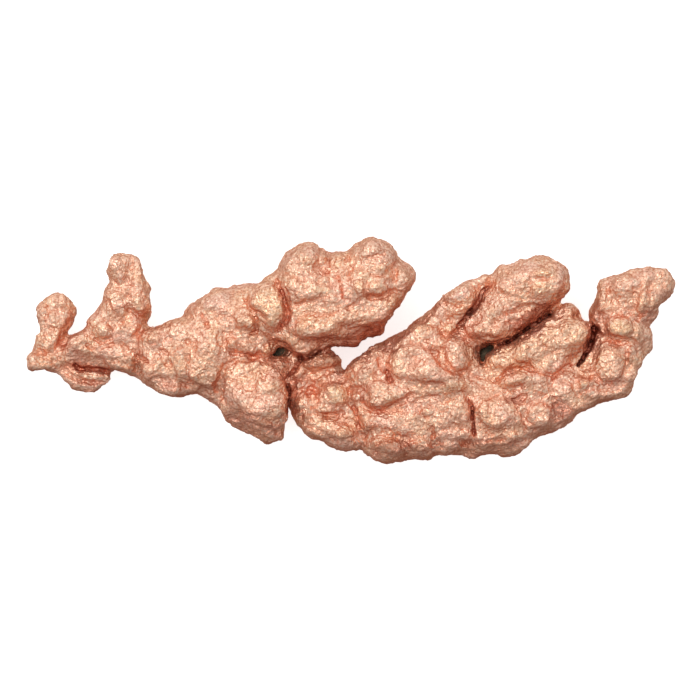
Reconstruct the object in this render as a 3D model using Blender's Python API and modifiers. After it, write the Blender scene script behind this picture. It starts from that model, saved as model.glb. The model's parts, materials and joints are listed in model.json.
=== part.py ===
"""A native copper nugget, lying on its back: fused lobes and fingers of copper, with two chips of host rock.

Run with: blender --background --python part.py
The tables are in millimetres, as seen from above, with X to the right and Y up. Blender's units are metres, +Z up.
The nugget rests on Z = 0, with the middle of its box over the origin.
"""

import math
from collections import namedtuple

import bmesh
import bpy
import numpy as np
from mathutils import Euler, Matrix, Vector, noise

MM = 0.001

# Driving sizes, in millimetres
NUGGET_LENGTH = 90.0  # the tables are drawn at about this length, and the result is brought to it
TRIANGLES = 9000  # the copper's faces, before the hollows for the chips are cut
PLATE_VOXEL = 0.45  # grid of one lobe's plate
FUSE_VOXEL = 0.3  # grid that the lobes are fused on
CRUMPLE_WIDTHS = (4.5, 2.0)  # widths of the crumpled metal's facets
CRUMPLE_HEIGHTS = (1.3, 0.6)  # how far they stand out
CRUMPLE_MIDDLE = 0.4  # the crumple's own middle value, which leaves a point where it is
WORN_DEPTH = 0.5  # how much of the feet is worn flat, where the nugget rests
REST_FADE = 1.5  # the crumple fades out over this height above the worn faces
BACK_SHIFT = (2.6, -1.8, 0)  # the back's lumps and crevices are the front's, moved by this
BACK_RISE = 0.8  # and this much of their height
CHIP_GAP = 0.3  # clear of the copper all round
CHIP_UNEVEN = 0.22  # how far a chip is from a smooth ball, as a share of its size
CHIP_GRAIN = 1.7  # how closely its corners follow each other

# One lobe: the height of its middle plane, its half thickness, how far in from its outline it is rounded,
# how much its middle plane climbs per millimetre along X and Y, and its outline.
Lobe = namedtuple("Lobe", "middle half edge climb outline")

LOBES = {
    "left_finger": Lobe(
        4.6, 2.2, 2.4, (0, 0),
        [(-40.5, 8.0), (-41.8, 7.9), (-42.8, 7.2), (-43.4, 6.0), (-43.1, 4.5), (-43.2, 3.0),
         (-43.8, 1.5), (-44.1, 0.5), (-44.6, -0.3), (-44.8, -1.8), (-44.3, -2.7), (-43.9, -3.0),
         (-43.0, -2.5), (-42.4, -2.5), (-41.2, -2.9), (-40.4, -2.3), (-39.6, -1.2), (-39.2, 0.2),
         (-39.7, 1.4), (-39.5, 2.2), (-39.1, 3.0), (-38.6, 4.0), (-38.2, 5.4), (-38.4, 6.2),
         (-39.2, 7.2)],
    ),
    "neck_and_thumb": Lobe(
        5.4, 2.9, 2.8, (0, 0.09),
        [(-39.9, 1.4), (-39.2, 2.0), (-38.7, 2.5), (-38.0, 2.6), (-37.2, 3.1), (-36.5, 3.3),
         (-36.5, 4.5), (-36.2, 4.9), (-35.5, 5.3), (-34.9, 5.6), (-34.6, 6.2), (-34.0, 6.7),
         (-33.9, 7.2), (-34.0, 8.0), (-33.8, 8.6), (-33.3, 8.9), (-33.3, 9.5), (-33.4, 10.1),
         (-33.7, 10.8), (-33.9, 11.5), (-33.6, 12.4), (-33.2, 13.2), (-32.5, 13.6), (-31.8, 13.9),
         (-31.0, 13.9), (-30.0, 13.7), (-29.4, 13.4), (-29.0, 12.7), (-28.7, 12.0), (-28.4, 11.0),
         (-28.1, 10.3), (-27.9, 9.5), (-27.8, 8.5), (-27.7, 7.5), (-27.3, 6.3), (-27.5, 5.0),
         (-28.0, 4.4), (-28.3, 3.6), (-28.4, 3.1), (-26.5, 1.0), (-26.5, -2.0), (-28.0, -4.5),
         (-28.7, -4.1), (-29.2, -3.4), (-29.7, -3.0), (-30.4, -3.1), (-31.0, -2.8), (-32.0, -2.5),
         (-33.0, -2.5), (-34.0, -2.2), (-35.5, -2.1), (-37.0, -2.1), (-38.0, -1.8), (-39.5, -1.8),
         (-40.5, -1.2), (-40.4, 0.4)],
    ),
    "pea": Lobe(
        3.9, 2.0, 1.8, (0, 0),
        [(-40.1, -1.8), (-40.1, -2.8), (-39.6, -3.4), (-39.2, -4.1), (-38.5, -4.5), (-37.8, -4.9),
         (-37.0, -5.4), (-36.2, -5.7), (-35.1, -5.8), (-34.6, -5.2), (-33.9, -4.8), (-33.2, -4.4),
         (-32.9, -3.8), (-33.1, -3.0), (-33.4, -2.8), (-34.5, -2.6), (-36.0, -2.4), (-37.2, -2.2),
         (-38.0, -1.6), (-39.2, -1.2)],
    ),
    "left_body": Lobe(
        5.7, 4.5, 4.6, (0.05, 0),
        [(-28.0, -4.6), (-28.8, -3.6), (-29.3, -2.0), (-29.3, 0.0), (-28.9, 2.0), (-28.3, 3.2),
         (-27.5, 3.5), (-26.2, 3.8), (-25.5, 4.3), (-24.8, 4.5), (-23.5, 4.9), (-22.3, 5.0),
         (-22.4, 5.8), (-22.0, 6.3), (-21.0, 7.1), (-20.0, 7.9), (-19.0, 8.4), (-18.2, 8.9),
         (-17.2, 9.0), (-16.2, 8.9), (-15.2, 9.1), (-13.8, 9.0), (-11.5, 8.5), (-10.6, 6.0),
         (-10.6, 2.6), (-11.2, 0.4), (-12.0, -1.2), (-13.2, -3.0), (-15.5, -4.0), (-17.2, -5.5),
         (-17.5, -7.9), (-18.0, -7.4), (-18.6, -7.0), (-19.1, -6.5), (-19.9, -6.3), (-20.6, -5.9),
         (-21.5, -6.0), (-22.6, -5.9), (-22.8, -6.2), (-23.4, -6.4), (-25.0, -6.0), (-25.7, -5.6),
         (-26.5, -5.2), (-27.3, -4.9)],
    ),
    "upper_lobe": Lobe(
        7.5, 5.3, 5.0, (0.02, 0.05),
        [(-14.6, 9.1), (-12.9, 9.4), (-12.2, 9.9), (-11.0, 10.5), (-10.2, 10.8), (-9.7, 11.8),
         (-9.2, 12.3), (-8.8, 13.0), (-8.3, 13.7), (-7.5, 14.3), (-6.4, 14.9), (-5.6, 15.3),
         (-4.9, 15.2), (-4.4, 14.9), (-4.1, 14.2), (-3.8, 14.3), (-3.4, 13.8), (-3.1, 13.0),
         (-2.5, 13.2), (-1.9, 13.7), (-1.0, 14.0), (-0.3, 14.0), (0.0, 13.8), (0.7, 14.6),
         (1.5, 15.2), (2.3, 15.6), (3.3, 15.7), (4.0, 15.4), (4.7, 15.0), (5.5, 14.8), (6.1, 14.4),
         (6.6, 13.5), (6.8, 12.9), (7.2, 12.2), (7.8, 12.0), (8.3, 11.4), (8.8, 10.6),
         (8.8, 10.0), (8.5, 9.3), (8.1, 8.5), (7.7, 7.8), (7.2, 6.9), (6.6, 6.1), (6.1, 5.4),
         (5.5, 4.7), (5.0, 4.0), (4.9, 3.2), (4.3, 2.6), (3.5, 2.2), (2.2, 1.9), (1.8, 1.5),
         (1.0, 1.0), (0.0, 0.6), (-1.0, 0.4), (-2.0, 0.5), (-2.8, 0.8), (-3.5, 0.7), (-4.3, 0.2),
         (-5.5, -0.4), (-7.0, -0.6), (-8.5, 0.3), (-9.5, 1.1), (-11.5, 1.6), (-13.5, 3.0),
         (-14.6, 5.0), (-15.0, 7.0)],
    ),
    "lower_lobe": Lobe(
        5.8, 4.4, 4.4, (0, 0.12),
        [(-17.6, -8.3), (-17.0, -8.9), (-16.2, -9.6), (-15.4, -10.0), (-14.6, -10.6),
         (-13.8, -11.2), (-13.0, -11.8), (-12.3, -12.1), (-11.8, -12.4), (-11.2, -12.5),
         (-10.5, -12.3), (-9.7, -12.3), (-9.0, -12.0), (-8.7, -11.4), (-8.8, -10.8), (-9.0, -10.0),
         (-8.8, -9.3), (-8.8, -8.6), (-8.9, -7.5), (-9.1, -6.3), (-8.8, -5.3), (-9.3, -4.5),
         (-9.3, -3.7), (-8.7, -2.6), (-8.2, -1.6), (-8.6, -0.8), (-10.2, -0.9), (-12.0, -0.9),
         (-14.0, -1.0), (-16.0, -1.0), (-17.2, -1.9), (-17.6, -3.2), (-17.4, -5.0),
         (-17.7, -6.5)],
    ),
    "bridge": Lobe(
        5.3, 3.8, 3.4, (0, 0.0),
        [(-6.8, -1.1), (-5.2, -0.8), (-4.4, 0.0), (-3.3, 0.0), (-2.6, -0.2), (-2.0, -0.6),
         (-1.5, -1.1), (-1.3, -1.8), (-1.1, -2.6), (-0.7, -2.9), (0.8, -3.2), (2.2, -4.5),
         (2.8, -6.0), (2.4, -8.0), (2.2, -10.0), (2.2, -12.5), (1.7, -12.9), (1.0, -13.4),
         (0.3, -13.9), (-0.5, -14.0), (-1.5, -13.8), (-2.3, -13.4), (-2.8, -12.9), (-3.6, -12.5),
         (-4.6, -12.2), (-5.5, -11.8), (-6.2, -11.2), (-6.9, -10.5), (-7.2, -9.8), (-7.8, -9.2),
         (-8.0, -8.4), (-7.8, -7.3), (-8.0, -6.2), (-7.5, -5.3), (-8.0, -4.6), (-8.1, -3.8),
         (-7.5, -3.1), (-6.9, -2.4)],
    ),
    "right_body": Lobe(
        6.3, 4.8, 5.0, (-0.03, 0.06),
        [(-0.9, -2.9), (-0.5, -2.3), (0.0, -2.0), (0.1, -1.2), (0.3, -0.8), (1.2, -0.7),
         (1.7, -0.4), (2.2, 0.0), (2.7, 0.5), (3.0, 0.7), (4.5, 0.9), (5.0, 1.1), (6.0, 1.6),
         (6.8, 2.2), (7.8, 3.0), (9.0, 3.6), (10.0, 4.1), (12.0, 4.4), (14.5, 2.6), (17.0, 1.4),
         (18.0, -1.2), (20.0, -3.6), (22.5, -3.2), (25.0, -2.2), (28.0, -3.0), (30.2, -2.2),
         (32.0, -2.6), (34.0, -3.0), (36.5, -4.5), (36.6, -6.9), (35.5, -6.9), (35.0, -7.1),
         (34.0, -7.4), (33.5, -7.9), (32.5, -8.2), (31.7, -8.8), (31.0, -9.6), (30.0, -10.1),
         (29.0, -10.5), (28.0, -11.0), (27.0, -11.4), (26.5, -11.8), (26.0, -12.3), (25.0, -12.8),
         (24.0, -13.1), (23.0, -13.9), (22.0, -14.2), (21.0, -14.1), (19.9, -13.9), (19.5, -14.2),
         (18.0, -14.4), (17.0, -14.3), (16.5, -14.0), (15.5, -13.4), (15.0, -13.8), (14.2, -14.1),
         (13.9, -14.5), (13.0, -14.6), (12.3, -14.5), (12.0, -14.3), (11.5, -14.9), (10.8, -15.1),
         (9.7, -15.1), (8.7, -14.8), (8.0, -14.7), (7.5, -15.1), (6.9, -15.4), (6.3, -15.7),
         (5.0, -15.7), (4.0, -15.4), (3.3, -14.9), (2.8, -14.3), (2.3, -13.3), (2.1, -12.7),
         (1.8, -11.0), (0.5, -8.0), (-0.4, -5.0)],
    ),
    "thin_finger": Lobe(
        7.0, 2.8, 2.2, (0.03, 0.03),
        [(9.0, 3.6), (10.0, 4.1), (10.4, 4.9), (11.0, 5.6), (11.7, 6.3), (12.5, 6.9), (13.0, 7.7),
         (13.3, 8.1), (14.0, 8.4), (15.0, 9.1), (15.7, 9.7), (16.5, 10.1), (17.3, 10.1),
         (18.0, 10.5), (18.7, 10.8), (19.8, 10.6), (20.0, 10.0), (19.5, 9.4), (18.7, 8.5),
         (18.1, 7.9), (17.8, 7.0), (17.1, 6.4), (16.2, 5.2), (15.4, 4.4), (15.0, 3.8),
         (14.9, 2.9), (14.4, 1.8), (13.5, 1.0), (11.5, 1.0), (9.6, 2.0)],
    ),
    "big_finger": Lobe(
        6.9, 4.2, 3.4, (0, 0.02),
        [(20.6, 10.9), (21.5, 11.3), (22.5, 11.8), (23.0, 12.0), (23.3, 12.5), (24.0, 12.9),
         (25.0, 13.0), (26.5, 13.1), (27.2, 13.2), (27.6, 13.4), (28.2, 13.2), (29.0, 12.6),
         (29.8, 12.0), (30.5, 11.4), (30.7, 10.5), (30.7, 8.8), (30.4, 8.4), (29.8, 7.9),
         (29.3, 7.1), (28.5, 6.4), (28.0, 5.7), (27.4, 5.5), (26.4, 5.1), (25.0, 4.3), (23.9, 3.3),
         (22.7, 2.2), (21.8, 1.7), (20.8, 1.5), (19.8, 1.2), (18.4, 1.0), (16.8, 1.2), (15.4, 2.4),
         (15.7, 3.6), (16.6, 4.7), (17.6, 6.0), (18.3, 6.7), (18.7, 7.6), (19.2, 8.2),
         (20.0, 9.1), (20.4, 10.0)],
    ),
    "middle_finger": Lobe(
        6.2, 4.0, 3.2, (0, 0.02),
        [(27.9, 5.3), (29.0, 5.5), (29.4, 5.9), (30.2, 6.3), (31.0, 6.1), (31.6, 5.5), (32.0, 4.6),
         (32.5, 4.1), (33.1, 3.7), (33.5, 2.9), (33.2, 1.8), (32.5, 0.8), (31.8, 0.1),
         (31.2, -0.8), (30.5, -2.0), (29.0, -2.8), (27.0, -3.0), (25.0, -2.6), (23.0, -2.8),
         (21.3, -3.3), (20.0, -4.0), (18.8, -3.4), (18.6, -2.0), (19.1, -0.8), (19.9, 0.1),
         (20.6, 0.6), (21.3, 0.5), (22.3, 0.7), (23.5, 1.4), (24.6, 2.5), (25.7, 3.4),
         (26.8, 4.2), (27.8, 4.7)],
    ),
    "web_under_the_middle": Lobe(
        3.6, 2.6, 1.6, (0, 0),
        [(-13.6, 2.6), (-13.8, -2.4), (-11.4, -5.0), (-10.2, -7.4), (-7.2, -7.6), (-6.2, -4.0),
         (-4.6, -1.4), (-3.2, -0.4), (-3.2, 1.4), (-6.0, 3.0), (-9.0, 3.6)],
    ),
    "web_under_the_hand": Lobe(
        3.8, 2.6, 1.6, (0, 0),
        [(12.0, 2.0), (15.0, 5.4), (17.6, 8.2), (19.9, 9.8), (22.6, 9.0), (25.4, 7.4), (28.1, 5.9),
         (30.0, 5.2), (32.6, 4.0), (34.8, 4.0), (35.6, 1.0), (35.0, -3.0), (32.0, -5.0),
         (24.0, -5.6), (17.0, -4.4), (13.0, -1.0)],
    ),
    "right_arm": Lobe(
        6.1, 3.8, 3.4, (0, 0.07),
        [(33.3, 4.2), (33.3, 5.2), (33.4, 6.2), (33.7, 6.8), (34.1, 7.0), (34.3, 7.8), (34.2, 8.2),
         (34.5, 8.8), (34.7, 9.6), (35.0, 10.0), (35.6, 10.3), (36.3, 10.3), (37.0, 10.6),
         (38.0, 10.9), (38.5, 11.2), (39.3, 11.6), (40.5, 11.9), (41.5, 11.9), (42.3, 11.7),
         (43.2, 11.6), (44.0, 11.2), (44.6, 10.6), (44.9, 10.0), (45.0, 9.2), (44.9, 8.5),
         (44.2, 7.9), (43.5, 7.2), (43.0, 6.3), (42.9, 5.5), (42.5, 4.8), (42.0, 4.2), (41.7, 3.4),
         (41.9, 2.5), (41.8, 1.2), (41.7, 0.4), (41.2, 0.0), (40.8, -0.2), (40.7, -0.9),
         (40.4, -1.8), (40.1, -2.5), (40.0, -3.3), (39.7, -4.0), (39.5, -4.9), (39.0, -5.7),
         (38.3, -6.3), (37.6, -6.8), (37.0, -6.9), (35.4, -6.9), (33.5, -6.2), (32.4, -4.0),
         (32.6, -2.0), (33.3, -0.9), (33.7, 0.0), (34.2, 1.0), (34.5, 2.0), (34.6, 3.2)],
    ),
}

# One lump standing out of a lobe, seen from above: its middle, its half sizes, its turn in degrees and its rise.
Lump = namedtuple("Lump", "x y along across turn rise")

LUMPS = [
    # Left finger: head, shaft and foot
    Lump(-40.8, 5.6, 2.6, 2.4, 0, 0.7),
    Lump(-42.8, 5.8, 1.2, 1.5, 0, 0.6),
    Lump(-41.4, 2.6, 2.6, 1.7, 78, 0.4),
    Lump(-43.4, -1.4, 1.5, 1.6, 0, 0.6),
    Lump(-41.2, -1.4, 1.8, 1.4, 0, 0.5),
    # Thumb and neck
    Lump(-32.0, 11.6, 2.1, 2.4, 0, 0.8),
    Lump(-29.6, 11.0, 1.5, 2.6, 0, 0.5),
    Lump(-31.6, 8.3, 2.6, 1.8, 20, 0.6),
    Lump(-33.3, 7.9, 1.0, 1.0, 0, 0.6),
    Lump(-29.1, 6.7, 1.6, 1.6, 0, 0.9),
    Lump(-31.9, 5.8, 2.1, 1.8, 0, 0.6),
    Lump(-35.0, 4.2, 1.7, 1.5, 0, 0.8),
    Lump(-33.2, 3.0, 2.0, 1.9, 0, 0.9),
    Lump(-30.2, 3.0, 1.9, 2.4, 0, 0.8),
    Lump(-37.5, 1.3, 2.3, 1.3, 15, 0.7),
    Lump(-34.7, 0.6, 2.0, 1.3, 0, 0.5),
    Lump(-38.0, -1.1, 2.2, 1.0, 0, 0.4),
    Lump(-32.0, -0.9, 2.4, 1.7, 0, 0.7),
    Lump(-30.4, -1.8, 1.4, 1.5, 0, 0.6),
    # Pea under the neck
    Lump(-36.8, -3.6, 2.3, 1.4, -12, 0.5),
    Lump(-34.3, -3.8, 1.3, 1.2, 0, 0.4),
    # Left body
    Lump(-26.4, 1.8, 2.6, 2.2, 0, 0.8),
    Lump(-26.8, -1.9, 2.2, 2.2, 0, 0.9),
    Lump(-25.0, -4.4, 2.5, 1.5, -25, 0.6),
    Lump(-23.0, 2.4, 2.2, 2.7, 0, 1.0),
    Lump(-23.2, -1.3, 2.0, 2.1, 0, 0.8),
    Lump(-20.8, -3.8, 2.3, 1.6, 0, 1.0),
    Lump(-19.9, -0.6, 2.2, 2.2, 0, 1.1),
    Lump(-20.8, 4.6, 1.9, 2.6, 45, 0.6),
    Lump(-17.7, 5.6, 2.8, 2.8, 0, 0.9),
    Lump(-15.0, 7.4, 2.4, 1.7, 0, 0.5),
    Lump(-19.2, 2.2, 1.9, 1.8, 0, 0.9),
    Lump(-18.3, -3.6, 1.3, 2.2, 0, 0.9),
    Lump(-16.3, 1.2, 0.9, 1.1, 20, 1.1),
    Lump(-14.0, 4.0, 2.0, 1.2, 10, 1.4),
    Lump(-14.0, 1.0, 2.4, 1.4, 0, 0.6),
    Lump(-11.3, 0.6, 1.8, 0.9, 38, 1.2),
    # Upper lobe
    Lump(-11.6, 6.6, 2.5, 3.2, 0, 1.1),
    Lump(-11.4, 9.2, 2.2, 1.4, 15, 0.4),
    Lump(-7.9, 11.0, 2.0, 2.1, 45, 0.5),
    Lump(-6.0, 12.9, 2.5, 2.3, 0, 0.9),
    Lump(-5.8, 8.9, 3.3, 2.1, -8, 1.2),
    Lump(-2.6, 9.4, 2.0, 1.8, 0, 1.1),
    Lump(-1.2, 12.0, 2.1, 1.9, 0, 0.8),
    Lump(3.0, 12.7, 3.1, 2.8, 0, 1.2),
    Lump(7.2, 10.3, 1.6, 1.8, 0, 0.7),
    Lump(1.4, 9.4, 1.3, 1.6, 25, 1.4),
    Lump(3.9, 9.4, 1.5, 1.2, 0, 1.3),
    Lump(-0.7, 7.2, 2.0, 1.6, 0, 0.8),
    Lump(5.6, 7.4, 2.4, 1.5, 52, 0.8),
    Lump(2.8, 5.8, 2.4, 1.7, 30, 0.7),
    Lump(-1.0, 5.0, 2.5, 1.5, 20, 0.6),
    Lump(-4.6, 3.3, 3.0, 1.6, 8, 1.6),
    Lump(-5.4, 5.9, 2.2, 1.2, 0, 0.6),
    Lump(-7.8, 2.1, 1.6, 1.2, 0, 1.0),
    Lump(-6.0, 0.7, 1.9, 1.0, 0, 0.7),
    # Lower lobe
    Lump(-13.6, -4.4, 3.8, 3.2, 0, 1.0),
    Lump(-11.4, -7.6, 2.8, 2.6, -30, 0.9),
    Lump(-15.5, -6.9, 2.0, 2.2, -35, 0.5),
    Lump(-10.6, -9.9, 1.6, 2.0, 0, 0.6),
    Lump(-13.4, -9.4, 2.6, 1.4, -38, 0.5),
    Lump(-10.3, -2.4, 1.5, 1.5, 0, 0.8),
    # Bridge
    Lump(-4.8, -1.6, 2.2, 1.1, 0, 0.9),
    Lump(-2.7, -1.6, 1.4, 1.4, 0, 0.7),
    Lump(-7.1, -2.9, 1.1, 1.0, 0, 0.6),
    Lump(-6.2, -4.9, 1.3, 1.7, 0, 0.6),
    Lump(-1.8, -6.2, 2.0, 2.0, 0, 1.0),
    Lump(-6.0, -8.0, 1.8, 2.2, 0, 0.7),
    Lump(-3.4, -9.6, 2.1, 2.2, 0, 0.9),
    Lump(-0.4, -10.9, 2.2, 2.0, 0, 0.9),
    Lump(-2.2, -3.7, 1.7, 1.3, 0, 0.6),
    # Right body
    Lump(1.7, -2.6, 1.8, 1.8, 0, 0.7),
    Lump(3.8, -1.0, 1.2, 2.4, 0, 0.8),
    Lump(9.0, -1.3, 4.0, 2.6, -14, 1.7),
    Lump(13.0, -3.4, 2.2, 1.2, -20, 0.9),
    Lump(7.0, 1.2, 2.4, 1.1, 25, 0.4),
    Lump(10.4, 2.4, 2.6, 1.2, 28, 0.6),
    Lump(4.4, -5.4, 2.6, 1.7, 10, 0.9),
    Lump(8.6, -4.8, 2.2, 1.5, 10, 0.8),
    Lump(12.6, -5.2, 2.6, 1.4, -8, 0.7),
    Lump(12.8, -8.4, 3.6, 2.3, 0, 0.8),
    Lump(5.4, -10.0, 3.1, 1.8, -5, 0.7),
    Lump(9.3, -9.3, 2.0, 2.0, 0, 0.6),
    Lump(5.2, -13.1, 2.8, 2.0, 0, 0.6),
    Lump(10.0, -12.9, 2.2, 1.8, 0, 0.6),
    Lump(13.6, -12.2, 1.9, 1.9, 0, 0.6),
    Lump(15.0, -10.2, 2.0, 1.9, 0, 0.5),
    Lump(15.0, -0.8, 1.9, 2.0, 0, 1.0),
    Lump(20.6, -8.4, 2.8, 2.6, 0, 0.9),
    Lump(18.6, -11.8, 1.7, 2.2, 0, 0.5),
    Lump(22.2, -12.0, 2.2, 1.8, 0, 0.5),
    Lump(26.5, -8.9, 2.2, 2.1, 0, 1.2),
    Lump(29.6, -8.1, 2.2, 1.5, 25, 0.5),
    Lump(22.5, -4.5, 2.6, 1.0, 10, 1.1),
    Lump(26.2, -4.9, 2.2, 1.5, 0, 0.5),
    Lump(19.0, -5.0, 1.7, 1.4, 0, 0.6),
    Lump(29.6, -5.2, 1.8, 1.5, 0, 0.5),
    Lump(32.3, -4.4, 1.1, 1.0, 0, 0.8),
    Lump(33.8, -6.1, 2.0, 1.1, 20, 0.4),
    # Thin finger
    Lump(11.6, 4.4, 1.8, 1.4, 45, 0.4),
    Lump(13.6, 6.2, 2.0, 1.4, 45, 0.5),
    Lump(16.0, 8.4, 2.2, 1.3, 42, 0.4),
    Lump(13.4, 3.2, 1.4, 1.2, 0, 0.7),
    # Big finger
    Lump(18.3, 3.0, 1.3, 1.2, 0, 0.9),
    Lump(20.5, 3.1, 1.1, 1.1, 0, 0.8),
    Lump(16.5, 3.0, 1.1, 1.4, 0, 0.5),
    Lump(19.6, 5.8, 2.2, 1.9, 40, 0.7),
    Lump(22.3, 8.8, 2.8, 2.4, 35, 0.7),
    Lump(25.0, 10.9, 2.0, 1.9, 0, 0.7),
    Lump(27.4, 10.2, 2.6, 2.5, 0, 0.9),
    Lump(25.2, 7.7, 2.1, 1.3, 30, 0.7),
    Lump(24.2, 5.2, 2.3, 1.1, 38, 0.5),
    # Middle finger
    Lump(21.2, -1.3, 2.1, 1.8, 0, 0.7),
    Lump(24.0, 0.3, 1.9, 1.9, 0, 0.8),
    Lump(27.0, 1.7, 2.2, 2.2, 0, 0.9),
    Lump(30.3, 2.8, 2.3, 2.0, 0, 0.7),
    Lump(30.4, 5.3, 1.2, 1.1, 0, 0.7),
    Lump(28.2, -1.3, 2.5, 1.5, 0, 0.6),
    # Right arm
    Lump(36.0, -1.0, 1.9, 3.2, 0, 0.9),
    Lump(38.8, -1.4, 1.7, 2.6, 0, 0.6),
    Lump(36.6, -5.1, 2.2, 1.6, 0, 0.5),
    Lump(37.2, 3.6, 1.7, 1.6, 0, 1.1),
    Lump(40.0, 2.8, 1.7, 1.8, 0, 0.6),
    Lump(35.5, 6.8, 1.6, 2.2, 0, 0.6),
    Lump(40.7, 7.6, 1.1, 2.4, 12, 0.9),
    Lump(38.4, 9.0, 1.8, 1.8, 0, 0.5),
    Lump(43.0, 9.8, 2.0, 1.7, 0, 0.5),
    Lump(38.2, 6.2, 1.5, 1.3, 0, 0.5),
]

# One crevice or pit, seen from above: how far it reaches to each side, how deep it is, and where it runs.
Crevice = namedtuple("Crevice", "reach depth path")

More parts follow.
